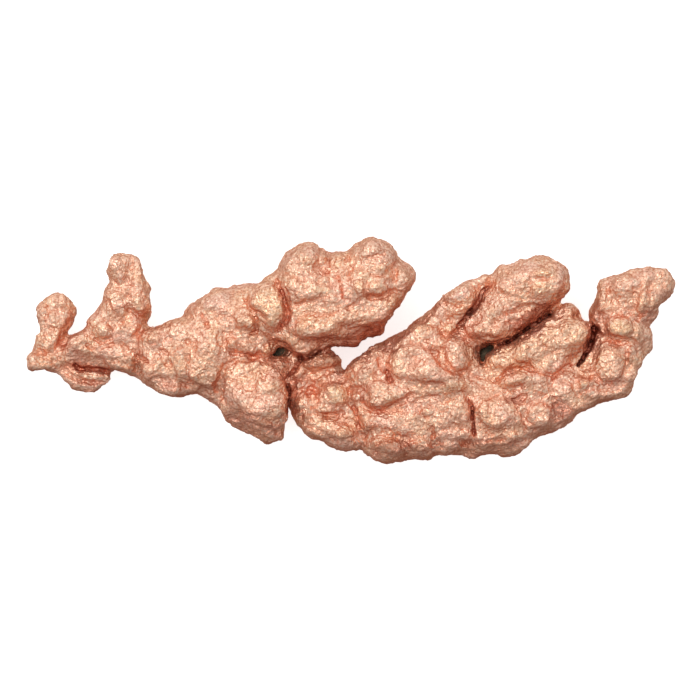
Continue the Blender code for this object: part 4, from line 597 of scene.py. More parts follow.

# Creases and gaps: how deep they are, how far they reach to each side, how strong their painted red shade is, how
# much higher the path's left side stands than its right, and then the points of the path
CREASES = [Crease(*row[:4], pairs(row[4:])) for row in rows("""
# The left finger
.5 .25 .2 0 -42.2,6.8 -41.9,6.2 -41.6,5.7 -41.3,5.5
.4 .25 .1 0 -41.95,5.2 -42.1,4.5 -42,3.6 -41.5,3.2 -40.9,3.2
.5 .3 .2 .15 -41,-.1 -41.3,-.4 -42,-.5 -42.3,-.1 -43,-.2 -43.5,-.1 -43.9,.1
.4 .4 1 0 -40,1.4 -40.4,1 -40.8,.5 -40.9,-.1
.4 .25 .2 0 -42.2,3 -42.3,2.4 -42.3,1.8
.3 .2 .4 0 -42.7,-.9 -41.9,-1 -41.2,-1.3 -40.6,-1.2
.3 .2 .2 0 -42.9,-1.5 -42,-1.6 -41.1,-1.5
.35 .5 .6 0 -39,4.4 -39.5,3.6 -40.1,2.9
# The neck and the thumb
.5 .22 .1 0 -30.5,11.5 -30.2,11.2
.45 .35 .1 0 -30.9,10.5 -30.6,9.9 -30.3,9.3
.3 .2 .1 0 -33.2,12.1 -33.05,11.2 -33,10.5 -32.8,10
.3 .25 .6 0 -32.3,10 -32.1,9.5 -31.9,9
.45 .3 .6 0 -33.8,7 -33.3,6.9 -32.9,6.4 -32.7,5.8
.7 .3 .3 .2 -28.5,4.8 -29.4,5 -29.8,5.4 -30.1,5.7 -30.5,5.9
.4 .25 .7 0 -32.2,5.2 -31.8,4.7 -31.3,4.3 -31,4.8 -30.6,5.2 -30,5.2
.3 .2 .5 0 -31.6,4.1 -30.6,4 -29.9,3.6 -29.3,3.4
.55 .3 .8 .15 -32.8,2 -33.2,1.8 -33.8,1.4 -34.4,1.2 -35.1,1.7
.35 .22 .4 0 -32.9,3.3 -32.5,2.9 -32.6,2.4
.5 .28 .4 0 -31.8,1.1 -31.3,1 -30.8,.7
.55 .35 .3 .1 -32.7,1 -33.4,.9 -34.2,.6 -34.9,.2 -35.3,.4 -35.8,.6 -36.4,1
.6 .3 .4 0 -38,.2 -37.6,0 -37.3,-.2
.5 .8 .2 0 -38.2,-.9 -36.8,-.9 -35.6,-.9 -34.6,-1.2 -33.9,-1.7
.5 .3 .2 .1 -30.2,-2.1 -30.8,-1.5 -31.5,-1.5 -32.2,-1.2 -32.8,-1.3
1.1 .26 1.2 0 -29.3,3.2 -29.4,2.2 -29.25,1.5 -29.3,.6 -29.1,0 -28.9,-.6 -28.3,-1 -27.8,-1.4
.5 .25 .6 0 -29.1,-.4 -29.4,-1.2 -29.5,-2.3
.5 .5 .8 0 -29.1,4.6 -28.6,4.3 -28.2,4.1
.4 .4 .8 0 -29.2,3.6 -29.6,3 -29.9,2.4
# The pea
1.6 .4 1.6 0 -38.1,-1.7 -37.7,-2.1 -37.2,-2.35 -36.8,-2.35 -36.4,-2.15 -35.7,-2.3 -35,-2.2 -34.4,-2.3 -33.6,-2.6
.1 .8 1.4 0 -39.6,-2.2 -38.6,-1.7 -37.4,-2 -36,-2.1
.5 .3 .1 .25 -33.4,-3.4 -33.8,-3.7 -34.5,-4.1 -35.2,-4.3 -36,-4.2 -36.6,-4.1 -37.5,-3.8 -38.2,-3.5 -38.9,-3.1
# The left body
.5 .3 .3 0 -27.4,1.05 -26.9,1.2 -26.4,.7 -25.9,.4 -25.3,.1 -25,-.3
.45 .28 .1 0 -25.1,-1.1 -24.7,-1.6 -24.5,-2.1
.5 .35 .2 0 -22.5,1.4 -22,1.1 -21.5,.6 -21.3,.1 -21,-.6
.35 .22 .3 0 -23.8,1.6 -23.3,1.3 -23.2,.6
.5 .3 .2 0 -22.2,-1.3 -22.3,-2.2 -22.1,-3 -21.9,-4
.55 .3 1 0 -20.4,5.3 -20,4.5 -19.6,3.9 -19.4,3.4
.4 .22 .2 0 -17.9,5.2 -17.8,4.3 -17.5,3.7 -17.2,3.2
.3 .22 .2 0 -17.1,5.2 -16.6,4.6 -16.2,4.9
.7 .3 .3 .25 -11.3,4.9 -11.8,5 -12.4,5.5 -12.9,5.6 -13.5,6 -13.8,6.4 -14.2,7
.7 .3 .6 0 -12.8,4.8 -12.8,3.8 -12.9,3.1
1.2 .3 .2 0 -13.4,2.75 -12.9,3
.5 .3 .1 0 -17.1,2.5 -16.6,2.3 -16.2,2.5
.4 .3 .6 0 -15.9,3.4 -15.2,3.2 -14.5,3.4 -13.9,3.1
.35 .22 .3 0 -18.3,1.2 -17.7,1 -17.5,.7
.45 .25 .6 0 -17.2,2 -17.2,1 -16.8,.4 -16.1,.05 -15.4,.3 -15.2,1 -15.5,1.8 -16.3,2.2
1 .5 1 0 -16.3,0 -15.2,-.2 -14.2,-.3 -13.6,-.6 -13.1,-.5 -12.5,-.2
.5 .2 0 0 -19,-1 -18.9,-1.5
.5 .35 .5 0 -15.6,-.9 -16.5,-1.4 -17.2,-2.1 -17.8,-2.9 -17.9,-3.6
1 .35 .9 0 -18.2,-3.9 -18.5,-4.5 -18.4,-5.3
.6 .4 .1 .25 -19.5,-5.4 -20.2,-5 -21,-4.6 -22,-4.4 -23.2,-4.5
.5 .3 .2 0 -27.2,-3.5 -26.6,-3.6
.3 .5 0 .2 -23.3,-5.2 -24,-4.8 -25,-4.4 -26,-3.9 -27,-3.5 -28,-3 -29.2,-2.5
.4 .25 .3 0 -25.3,4.2 -25.4,3.7 -25.1,3.3
.3 .2 .5 0 -27,-.4 -27.3,-1.4 -27.1,-2.4 -26.9,-3.2
.3 .2 .5 0 -25.2,-1.7 -25.9,-2.1 -26.2,-2.8
# The upper lobe
1.1 .35 1 0 -9.9,9.6 -9.5,8.8 -9.1,7.9 -8.8,7.1 -8.5,6.3 -8.3,5.5 -8.4,4.6 -9.2,3.7 -9.8,3
.35 .2 .7 0 -8.1,6.6 -7.2,6.6 -6.2,6.8 -5.2,7 -4.8,7.3 -4.2,7.5 -3.7,7.6
.4 .3 .7 0 -2.9,12.9 -3,12.2 -2.7,11.8
.7 .32 1 0 -3.7,11.2 -3.2,11 -2.8,10.7
.35 .3 .7 0 -4.9,11.3 -4.2,11.6 -3.6,11.4
.8 .3 1 0 -1.9,10.2 -1.3,10.2 -1.2,9.6 -1,9 -.9,8.2 -.8,7.4
.45 .25 .7 0 .1,13.9 .2,13.2 -.3,12.5
.4 .3 .7 0 .8,12.1 .4,11.4 .1,10.6 0,9.8
.3 .22 .9 0 2.6,12.95 3.5,13 4.2,13.1 4.8,13.5
.45 .22 .8 0 3.2,10.3 4.2,10.4 4.9,10.5
.6 .25 .5 0 2.35,10 2.4,9.3 2.3,8.6 2.2,8.2
.8 .45 1 0 2.2,8.3 2.6,7.8 3.4,7.6 4.6,7.7 5.4,8.1 6.2,8.5
.6 .3 .4 .3 -.5,6 .2,6.4 1,6.8 1.7,7.3 2.2,7.7
.5 .3 .7 0 6.3,12.3 6.1,11.6 6.2,10.8 6.1,10
.45 .22 .9 0 -1.7,6.3 -1.6,5.7 -2,5.25 -2.7,5.3
.3 .2 .6 0 -7.3,9.6 -7.1,8.7 -7.3,8
.3 .2 .6 0 -6.3,9.6 -6,9 -6.2,8.4
.3 .2 .5 0 -9.1,11 -8.1,10.6 -7,10.2 -6,10.2
.4 .22 .1 0 -6.9,9.8 -6.5,9.9 -6,9.8
.35 .14 0 0 -4.35,6 -4.25,6
.35 .3 .3 0 -7.6,2.6 -7,1.9 -6,1.4 -4.5,1.4 -3,1.5 -1.9,1.9 -1.2,2.7 -.9,3.6
.3 .25 .2 0 -7.8,3.3 -7.4,4.3 -6.4,5.1 -5,5.4 -3.5,5.3 -2.2,5.1
.5 .4 .3 .4 -.8,2.4 .5,3.3 1.5,3.6 2.7,3.6 3.8,3.8 4.8,4.4
.2 .2 .3 0 .3,5.6 1,5.4 2,5.5 3.2,5.6 4.2,5.6
.35 .3 .3 0 -11.8,.9 -11,1.5 -10,1.6 -9,1.4 -8.4,.8
.35 .3 .5 0 6.8,8 6,7.6 5.2,7.2
# The gap between the upper lobe and the bridge, and beside the lower lobe
2.4 .26 .4 0 -7.2,-.6 -6.6,-.75 -6,-.9 -5.3,-.85 -4.8,-.5 -4.4,-.1 -4.1,.2
1.8 .28 .5 0 -6.8,-.9 -6.5,-1.3
1.6 .32 .3 0 -8.3,.1 -7.9,0
3.2 .3 1.2 0 -8.6,-8.4 -8.35,-7.6 -8.3,-6.8 -8.25,-6 -8.2,-5.3
2 .28 1.4 0 -8.2,-5.3 -8.6,-4.8 -8.8,-4.3
1.8 .28 1 0 -9.2,-3.9 -8.7,-3.5 -8.1,-2.9 -7.6,-2.5 -7.2,-2.1 -7,-1.6 -6.8,-1.1 -6.6,-.7
.5 .35 .9 0 -9.9,-3.6 -9.2,-3.9 -8.8,-4.3
# The lower lobe
.3 .15 .1 .1 -12,-6 -12.8,-5.6 -13.6,-5.4
.35 .2 .1 0 -12,-6.3 -11.6,-6.9 -11.3,-7.6
.4 .22 .1 .15 -14.7,-7.2 -15.2,-7.4 -15.7,-7.1 -16.3,-6.9
.4 .3 .1 .3 -10,-9.6 -11,-9.3 -12,-9 -12.8,-8.6 -13.8,-8.4 -14.8,-8 -16,-7.6 -17,-6.9
.35 .3 .1 .3 -10,-11.2 -11,-10.5 -12,-10.2 -13,-9.8 -14,-9.4 -15.2,-9.2
.35 .3 .1 0 -17.9,-3.7 -17.6,-5 -17.5,-6.3 -17.9,-7.2
.4 .22 .3 0 -14.4,-2.1 -14.2,-1.3 -13.2,-.95 -12.3,-1.4 -11.9,-2.1
.35 .25 .4 0 -10.4,-2.6 -9.8,-2.4 -9.2,-2.7 -8.8,-3.2
.35 .25 .5 0 -11.4,-.9 -10.4,-1 -9.2,-1 -8.4,-1.3
# The bridge
.3 .7 1.3 0 -5.6,-3.5 -4.9,-4.4 -5,-5.6 -4.4,-6.4
.2 .5 1 0 -7.4,-3.4 -7.9,-4.4 -7.4,-5.6
.6 .3 .1 .2 -6.2,-3.8 -6.8,-3.9 -7.6,-3.95 -8.3,-4
.6 .28 .9 0 -5.7,-2.7 -4.8,-2.85 -4,-2.6 -3.2,-2.3 -2.4,-2.05 -1.7,-1.85
.45 .28 .8 0 -5.1,-3.4 -4.5,-3.6 -3.9,-3.4 -3.3,-3 -3,-2.7
.8 .3 .5 0 -3.1,-3.1 -3.4,-3.8 -3.8,-4.3 -4.3,-4.9
.7 .28 1 0 -5.9,-5.3 -5.5,-4.95 -4.8,-5.05 -4.4,-5.5 -4.5,-6.1 -5.2,-6.35 -5.8,-6 -5.9,-5.3
.5 .3 .9 0 -6.3,-4.9 -6.6,-5.5 -6.4,-6.2
.6 .35 .3 .15 -5,-8.2 -4.2,-8.5 -3.2,-8.6 -2.3,-8.7 -1.8,-9.1 -1.3,-8.7 -.9,-8.2
.5 .28 .4 0 -5.1,-7.6 -5.3,-8.6 -5.1,-9.4
.6 .3 .7 0 -6.4,-7.9 -6.5,-8.6 -6.5,-9.3
.8 .32 .8 0 -7.5,-8.3 -7,-8.2 -6.6,-8.1
.4 .35 .1 .25 -2.3,-11.9 -3,-11.4 -3.8,-10.9 -4.8,-10.5 -5.8,-10.1
1.1 .28 1.3 0 .4,-7.9 .8,-7.7 .9,-8.4 1.2,-9 1.4,-9.8 1.35,-10.3
1 .35 1 0 1.9,-6.5 2.1,-7.1 2.6,-7.6 3.2,-7.85
.5 .25 .3 0 1.5,-10.3 2,-10.8 2.8,-11.4
.7 .35 .2 0 1.6,-11.1 2.2,-11.7 2.1,-12.3 2,-12.9
.5 .25 .3 0 .2,-5.2 .2,-6.2 -.2,-7 .1,-7.5
# The right body
.5 .22 .5 0 4.75,.4 4.7,-.6 4.7,-1.7 4.9,-2.5
.5 .22 .8 0 5.9,.3 5.5,-.6 5.35,-1.6 5.2,-2.4
1.5 .3 .8 0 5.2,-2.5 5.4,-3.1 5.5,-3.8 5.9,-4.1
.5 .28 .8 0 4.1,-.4 4.1,-1.5 4.4,-2.3 4.9,-2.8
.5 .28 .9 0 8.4,1.25 9.6,1.15 10.3,.8 11.1,.1 11.8,-.9 12.6,-1.8 13.3,-2.6
.55 .22 .8 0 13.3,-2.5 13.9,-2.7 14.4,-3.05 14.9,-2.8 15.6,-2.8 16.2,-2.35
.5 .25 1 0 16.2,-2.35 16.6,-2.7 17.2,-3.3 17.8,-3.55 18.4,-3.5
.9 .5 .1 .2 0,-5.4 .6,-5.1 1.3,-5 2,-4.9 2.4,-5.2 2.8,-5.7 3,-6.2
.7 .28 .6 .45 2.7,-7.6 3.6,-7.9 4.5,-7.9 5.2,-7.6 6,-7.2 6.8,-6.9 7.5,-6.5 8,-6.05 8.5,-5.8 9.2,-5.6
.2 .45 1.2 0 3,-8.1 4.5,-8.2 5.8,-8.1 6.8,-8.1 7.4,-8.3
.4 .35 .9 0 6.6,-7.5 7.5,-7.1 8.2,-6.9
.65 .3 .1 .25 8.7,-7 9.4,-6.6 10.1,-6.4 10.5,-6.45 11,-6.15 11.6,-6.05 12.3,-6.15
.35 .22 .2 .1 12.2,-6.4 12.7,-6.9 13.2,-7
.35 .2 .2 .15 11,-7.2 12,-7.6 12.7,-8 13.5,-8.4
.4 .22 .3 0 9.1,-7.4 9.6,-7.9 9.9,-8.6 10.3,-9 11,-8.95
.35 .22 .3 .1 9,-9.3 9.7,-9.6 10.5,-9.9 11.3,-10
.3 .2 .2 .1 14.2,-5.7 14.9,-5.4 15.6,-5.3 16.1,-5.6
.9 .3 1 0 16.3,-6.4 16.7,-7 17,-7.4
2.2 .28 1.4 0 17,-7.4 17.1,-8.2 17.2,-9 17.3,-9.8 17.3,-10.6 17.45,-11.3
.8 .3 .5 0 17.45,-11.4 17.3,-11.7 16.9,-12.1 16.4,-12.4 15.8,-12.8
.8 .3 .4 0 11.6,-10.1 11.45,-10.6 11.7,-11.1 11.5,-11.8 11.3,-12.4 11.6,-13 11.9,-13.5 11.9,-14.2
.4 .4 .1 .4 2.6,-10.8 3.3,-10.4 4.2,-10.2 5.2,-10.4 6,-10.7 6.8,-11.1
.55 .25 .1 .2 6.6,-11.4 7.5,-11.6 8.5,-11.8 9.2,-12.1 9.7,-12.6 10.1,-13.1
.4 .2 .8 0 5.9,-11.7 6.9,-12.1 7.5,-12.5
.45 .22 .2 0 7,-12.9 7.5,-13.6 8.1,-14
.4 .22 .2 0 7.6,-12.3 8.1,-12.9 8.5,-13.6
.6 .4 .1 .3 3.5,-13.3 4.6,-13.4 5.6,-13.8 6.6,-14.1 7.6,-14.4
.4 .3 .1 .2 8.6,-13.6 9.8,-13.5 11,-13.5 11.8,-13.7
.4 .35 .1 .3 12,-12.2 13.2,-12 14.6,-12 16,-12.1
.4 .25 .1 0 15.2,-10.3 15.9,-10.7 16.5,-10.5
.4 .25 .1 0 15.6,-11.9 16.2,-11.5 16.9,-11.3
.6 .28 .1 0 17.9,-9.2 18.3,-9.8 18.9,-10.3 19.1,-10.9
.45 .25 .2 0 18.2,-11.6 19,-11.8 19.6,-11.2 20.2,-11.2
.4 .35 .1 .3 17.6,-12.1 18.8,-12.2 20,-12 21.2,-11.8 22.2,-12.2
.4 .28 .8 0 19,-6.6 19.8,-6.3 20.3,-5.9
.4 .28 .8 0 19.4,-7.2 19.3,-8.2 19.7,-8.6
.4 .25 .3 .1 17.8,-4.4 18.6,-5 19.4,-5.6
.4 .2 .1 0 21.4,-6.1 22,-6.6 22.6,-6.9
.4 .22 .1 .15 23.2,-6.1 24,-5.85 24.8,-5.8
.5 .25 .9 0 22.9,-7.5 23.5,-8.3 24.1,-9 24.7,-9.6 25.4,-10.1 25.8,-10.5
.4 .22 .7 0 23.9,-8.7 24,-9.5 24.2,-10.3 24.3,-11
.3 .2 .3 0 24.6,-8.4 24.7,-7.4 25.5,-6.8 26.5,-6.75 27.4,-7 27.9,-7.7
.5 .28 .1 .25 28,-6.6 28.6,-6.4 29.2,-6.7 29.8,-7.1 30.3,-7.3 30.9,-7.8
.3 .5 0 .25 20.2,-12.6 21.6,-12.5 23,-12.4 24.2,-12 25.3,-11.6 26.2,-11.1 27.2,-10.7 28.2,-10.2 29.4,-9.6 30.8,-8.9
 32,-8.2
.45 .25 .1 .1 22.7,-5.3 23.5,-4.95 24.3,-4.6
.3 .2 .7 0 1,-3.2 1.4,-2.4 1.7,-1.7
.35 .25 .8 0 .1,-1.9 .5,-2.6 .9,-3.2
# The thin finger
.7 .3 .6 0 12.3,3.4 12.8,2.8 13.1,2.35 13.7,2.05 14.2,2.4 14.8,2.8
.6 .28 1 0 19.9,9.4 19.6,9.1 19.2,8.8
2.2 .29 .5 0 19.2,8.8 18.7,8.4 18.3,7.9 18.1,7.5
1.3 .3 .9 0 18.1,7.5 17.9,6.9 17.6,6.5 17.1,6.2
2.4 .32 .4 0 17.1,6.2 16.7,5.7 16.2,5.1 15.6,4.4 15.2,3.9
.8 .28 .7 0 15.2,3.9 15,3.3 14.8,2.9
.35 .22 .5 0 12.9,7 13.6,6.6 14.5,6.4 15.6,6.6 16.4,7
.3 .25 .8 0 17,9.3 17.4,8.8 18.2,8.9
# The big finger
.45 .28 .4 0 16.1,3.4 16.2,2.6 16.6,2 17.3,1.2 17.8,.8
.6 .28 .2 0 18.4,7.3 18.8,6.9 19,6.4 19.5,6
.35 .25 .3 0 21.9,11.2 22.1,10.4 21.8,9.6
.35 .22 .6 0 22.6,9.3 23.3,8.7 24.1,8.2
.3 .2 .2 .1 20.6,8 22,7.9 23.5,7.7 24.6,7.3 25.4,7.5
.4 .35 .1 .35 23.3,6.2 24.2,6.5 25.3,6.8 26.4,6.8 27.5,6.6 28.6,7 29.6,7.7
.4 .25 .7 0 20.9,4.9 21.6,5.2 22.4,5.5 23.2,5.8
.4 .25 .8 0 21.2,3.9 22.2,4.1 23.3,4.4 24.4,4.5
.4 .22 .5 0 18.6,2.3 19.4,2.3 20.6,2.1 21.4,2.4
.35 .22 .2 0 25.2,10.9 25.1,10.1 25.2,9.4
.3 .2 .2 0 25.4,10.2 26.4,10.1 27.6,10.2 28.2,10.6
.4 .18 .1 0 28.9,8.05 29.1,8
.5 .2 .3 0 19.9,.95 20.5,.9 21,1
2.6 .26 .5 0 20.6,.95 21.2,1.05 21.8,1.25
3.6 .32 .3 0 21.8,1.25 22.4,1.55 23.1,2.05 23.7,2.55 24.4,3 25.1,3.5
2.8 .32 .4 0 25.1,3.5 25.9,4 26.6,4.5 27.2,4.9 27.9,5.1
# The middle finger
.6 .3 .8 0 24,-1.1 24.2,-1.3
.6 .25 .3 0 20,-4.3 20.6,-3.9 21.2,-3.5 21.6,-3.2
.25 .2 0 .05 21.6,-3.2 22.3,-2.95 23.2,-2.5 24,-2.15 24.6,-2.1 25,-2.2 25.5,-2.6 26.1,-2.95 27.2,-3 28,-3
.3 .16 0 0 28.7,.6 28.9,.4
.3 .16 0 0 28.9,-.3 29.1,-.5
.3 .22 .4 0 25.4,2.6 26,1.9 26.6,.9 27.8,.6
.3 .22 .3 0 27.4,3.4 28.6,3.6 29.4,3.9 30.6,4.2
3 .3 .3 0 34.1,3.4 34.1,2.9 34,2.2 33.8,1.6 33.5,1 33.2,.3 32.8,-.2
3.4 .32 .2 0 32.8,-.2 32.5,-.8 32.1,-1.3 31.8,-1.8
.7 .35 1 0 28.1,-4.1 28.5,-3.4 29,-2.9 29.4,-2.3 29.9,-1.9 30.6,-1.6
.4 .22 .4 0 31.2,-3.7 31.9,-3.5 32.7,-3.5 33.5,-3.65
.4 .25 .1 0 31.9,-5.6 32.6,-5.5 33.2,-5.1 33.6,-4.6
.6 .25 1 0 33.6,-4.7 33.75,-5.2
# The right arm
1.2 .24 0 0 36.02,8.5 36.06,8.2
.4 .2 .1 0 35.85,8 35.9,7.4 36,6.8
.45 .22 .1 0 36.4,8 36.7,7.4 36.8,6.8 37.1,6.4
.4 .2 .1 0 37.3,7.1 37.35,6.7 37.3,6.1 37.1,5.5
.35 .22 .4 0 37.5,6.4 38.3,6 39,5.8 39.6,5.9
.7 .28 .3 0 37.3,5.15 37.8,4.95 38.1,4.85 38.5,5.2 39,5.3 39.5,4.8 40,4.3
.7 .28 .2 0 40.1,4.9 40.5,5.4 41,5.6 41.5,5.6
.5 .3 .3 0 40.3,4.2 41,4.3 41.7,4.2
1.6 .6 .6 0 33.9,3.3 34.4,3
.9 .5 .9 0 34.4,3 35,2.5 35.5,2.2
.8 .28 .9 0 34.9,1.4 35.3,1.5 35.8,1.65 36.4,1.6 37,1.4 37.6,1.3
.5 .22 .3 0 35,.4 35.2,.4
.5 .22 .4 0 38.6,.4 38.5,-.7 38.3,-1.8 37.9,-2.8
.35 .2 .2 0 39.1,.4 39.1,-.8 38.9,-2
.5 .25 .2 0 35.9,-3.8 36.3,-4.3 36.6,-4.9 37,-4.7 37.4,-4.5
.45 .4 .1 .35 34.6,-5.1 35.6,-5.3 36.4,-5.2 37.2,-5 38,-4.2
.35 .3 .1 0 39.4,1.8 39.7,.6 39.6,-.6
.4 .3 .5 0 35.3,5.6 35,4.8 35.3,4 35.5,3.2
.3 .2 .5 0 41.7,9.2 41.5,8.2 41.6,7.2 41.4,6.2
.35 .22 .3 0 38.4,10.7 39,10.6 39.8,10.8 40.6,10.5
.35 .2 .2 0 43.2,9.6 43.6,9.2 44.2,9
""")]


def new_object(name, data):
    obj = bpy.data.objects.new(name, data)
    bpy.context.scene.collection.objects.link(obj)
    return obj


def modified(obj, kind, **settings):
    """Changes the object's mesh by one modifier."""
    modifier = obj.modifiers.new(kind, kind)
    for name, value in settings.items():
        setattr(modifier, name, value)
    graph = bpy.context.evaluated_depsgraph_get()
    mesh = bpy.data.meshes.new_from_object(obj.evaluated_get(graph))
    obj.modifiers.clear()
    old, obj.data = obj.data, mesh
    bpy.data.meshes.remove(old)


def remesh(obj, voxel):
    modified(obj, "REMESH", mode="VOXEL", voxel_size=voxel)


def smooth(obj, times):
    modified(obj, "SMOOTH", factor=0.5, iterations=times)


def thin_out(obj, triangles):
    count = sum(len(face.vertices) - 2 for face in obj.data.polygons)
    modified(obj, "DECIMATE", ratio=min(1, triangles / count))


def read(items, name, width, kind=np.float32):
    values = np.empty(len(items) * width, kind)
    items.foreach_get(name, values)
    return values.reshape(-1, width)


def points_of(mesh):
    return read(mesh.vertices, "co", 3).astype(float)


def normals_of(mesh):
    return read(mesh.vertices, "normal", 3).astype(float)


def edges_of(mesh):
    return read(mesh.edges, "vertices", 2, np.int32)


def set_points(mesh, points):
    mesh.vertices.foreach_set("co", points.astype(np.float32).ravel())
    mesh.update()


def averaged(values, edges, times):
    """The values, each replaced by the mean of its neighbours', this many times."""
    a, b = edges.T
    count = len(values)
    share = np.bincount(a, minlength=count) + np.bincount(b, minlength=count)
    for _ in range(times):
        columns = [np.bincount(a, column[b], count) + np.bincount(b, column[a], count) for column in values.T]
        values = np.stack(columns, axis=1) / share[:, None]
    return values


def facing(mesh, times):
    """Which way the skin faces at each point, averaged this many times."""
    vectors = averaged(normals_of(mesh), edges_of(mesh), times)
    return vectors / np.linalg.norm(vectors, axis=1)[:, None]


def top_share(normals):
    return np.clip((normals[:, 2] + SIDE) / (2 * SIDE), 0, 1)


def noise_at(points, width, shift=(0, 0, 0), kind=noise.noise):
    shift = Vector(shift)
    return np.array([kind(Vector(point) / width + shift) for point in points])


def noise_vectors(points, width, size, step, shift):
    """Vectors of this many numbers, each from a noise that is shifted by another step."""
    return np.stack([noise_at(points, width, (step * k, *shift)) for k in range(size)], axis=1)


def waves(points, width):
    return noise_at(points, width, kind=lambda place: noise.turbulence(place, 1, True))


def facets(points, width, shift):
    """Tilted plates about this wide, with a step or crease between them."""
    found = [noise.voronoi(Vector(p)) for p in points / width + shift]
    far = np.array([f[0][:2] for f in found])
    middles = np.array([[tuple(m) for m in f[1][:2]] for f in found])
    # The tilt of each plate comes from the fraction of a large number that its middle gives
    turns = middles @ [[127.1, 269.5, 113.5], [311.7, 183.3, 271.9], [74.7, 246.1, 124.6]]
    turns = np.modf(np.sin(turns) * 43758.5)[0]
    heights = (turns * ((points / width + shift)[:, None] - middles)).sum(axis=2)
    share = np.clip((far[:, 1] - far[:, 0]) / SEAM, 0, 1)
    share = 0.5 + 0.5 * share * share * (3 - 2 * share)
    return heights[:, 0] * share + heights[:, 1] * (1 - share)


def near_box(flat, outline, margin):
    """Which points lie in the box around the outline, this much wider."""
    low = np.min(outline, axis=0) - margin
    high = np.max(outline, axis=0) + margin
    return np.flatnonzero(((flat > low) & (flat < high)).all(axis=1))


def beside_path(flat, path):
    """How far each point is from the path, and its side of the nearest stretch: 1 is left, -1 is right."""
    nearest = np.full(len(flat), np.inf)
    side = np.zeros(len(flat))
    for start, end in zip(path, path[1:]):
        run = np.subtract(end, start)
        along = np.clip((flat - start) @ run / (run @ run), 0, 1)
        off = flat - start - along[:, None] * run
        far = np.hypot(off[:, 0], off[:, 1])
        closer = far < nearest
        side[closer] = np.sign(run[0] * off[:, 1] - run[1] * off[:, 0])[closer]
        nearest[closer] = far[closer]
    return nearest, side


def within(flat, outline):
    """Which points lie inside the outline."""
    inside = np.zeros(len(flat), bool)
    for (x0, y0), (x1, y1) in zip(outline, outline[1:] + outline[:1]):
        if y0 == y1:
            continue
        crosses = (flat[:, 1] > min(y0, y1)) & (flat[:, 1] <= max(y0, y1))
        inside ^= crosses & (flat[:, 0] < x0 + (flat[:, 1] - y0) / (y1 - y0) * (x1 - x0))
    return inside


def within_oval(flat, oval):
    """Which points lie near the oval, and how far inside each is: 0 at its edge and beyond, 1 in its middle."""
    near = near_box(flat, [(oval.x, oval.y)], max(oval.along, oval.across))
    turn = math.radians(oval.turn)
    x, y = (flat[near] - (oval.x, oval.y)).T
    u = (x * math.cos(turn) + y * math.sin(turn)) / oval.along
    v = (y * math.cos(turn) - x * math.sin(turn)) / oval.across
    return near, np.maximum(1 - u * u - v * v, 0)


class Relief:
    """What the tables do at each point seen from above: its height, cut, gold and calm, the painted red shade of its
    creases, and its painted shade.
    """

    def __init__(self, flat):
        self.height, self.cut, self.gold, self.calm, self.red, self.painted_shade = np.zeros((6, len(flat)))
        for slab in SLABS:
            self.add_slab(flat, slab)
        lumps = np.zeros(len(flat))
        for lump in LUMPS:
            near, inward = within_oval(flat, lump)
            lumps[near] = np.maximum(lumps[near], lump.rise * inward**0.7)
        self.height += LUMP_SHARE * lumps
        for swell in SWELLS:
            near, inward = within_oval(flat, swell)
            self.height[near] += swell.rise * inward**1.5
        for crease in CREASES:
            self.add_crease(flat, crease)
        # The painted shade spots from the table
        for spot in PAINTED_SHADE_SPOTS:
            near, inward = within_oval(flat, spot)
            self.painted_shade[near] = np.maximum(self.painted_shade[near], spot.share * np.minimum(2 * inward, 1))

    def add_slab(self, flat, slab):
        near = near_box(flat, slab.outline, 0)
        near = near[within(flat[near], slab.outline)]
        inward, _ = beside_path(flat[near], slab.outline + slab.outline[:1])
        self.height[near] += slab.rise * (1 - (1 - np.minimum(inward / slab.edge, 1)) ** 2)
        share = np.minimum(inward / SLAB_FADE, 1)
        self.gold[near] += slab.gold * share
        self.calm[near] = np.maximum(self.calm[near], slab.calm * share)

    def add_crease(self, flat, crease):
        near = near_box(flat, crease.path, max(crease.reach, 3 * STEP_FADE if crease.step else 0, RED_MARGIN))
        far, side = beside_path(flat[near], crease.path)
        depth = crease.depth if crease.depth > 1 else SHALLOW_SHARE * crease.depth
        self.cut[near] = np.maximum(self.cut[near], depth * np.maximum(1 - far / crease.reach, 0) ** 0.6)
        # The painted red shade along the crease
        red = crease.red * np.exp(-((far / (RED_SHARE * crease.reach)) ** 2))
        self.red[near] = np.maximum(self.red[near], red)
        if crease.step:
            self.height[near] += crease.step * side * np.exp(-far / STEP_FADE) / 2


def relief_of(mesh):
    """What the tables do at each point of the mesh, and how much of it counts there."""
    return Relief(points_of(mesh)[:, :2] - TABLE_ORIGIN), top_share(facing(mesh, 25))


def add_flaps(mesh):
    """Adds the lumps that reach over the chips' sockets."""
    body = bmesh.new()
    body.from_mesh(mesh)
    for flap in FLAPS:
        place = Matrix.Translation((flap.x + TABLE_ORIGIN[0], flap.y + TABLE_ORIGIN[1], flap.z))
        place @= Matrix.Rotation(math.radians(flap.turn), 4, "Z") @ Matrix.Diagonal((*flap.radii, 1))
        bmesh.ops.create_icosphere(body, subdivisions=3, radius=1, matrix=place)
    body.to_mesh(mesh)
    body.free()


def fill_hollows(mesh):
    """Raises the wide hollows of the upper side to the level of what surrounds them."""
    points = points_of(mesh)
    edges = edges_of(mesh)
    for _ in range(HOLLOW_ROUNDS):
        set_points(mesh, points)
        faces_up = np.clip(normals_of(mesh)[:, 2] * 4, 0, 1)
        lift = averaged(points, edges, HOLLOW_REACH)[:, 2] - points[:, 2]
        points[:, 2] += np.maximum(lift, 0) * faces_up
    set_points(mesh, points)


def square_shoulders(mesh):
    """Turns the round shoulders into steeper ones."""
    points = points_of(mesh)
    up = np.clip(facing(mesh, 6)[:, 2], 0, 1)
    points[:, 2] += SHOULDER * ((1 - (1 - up**2) ** 1.5) ** (1 / 3) - up)
    set_points(mesh, points)


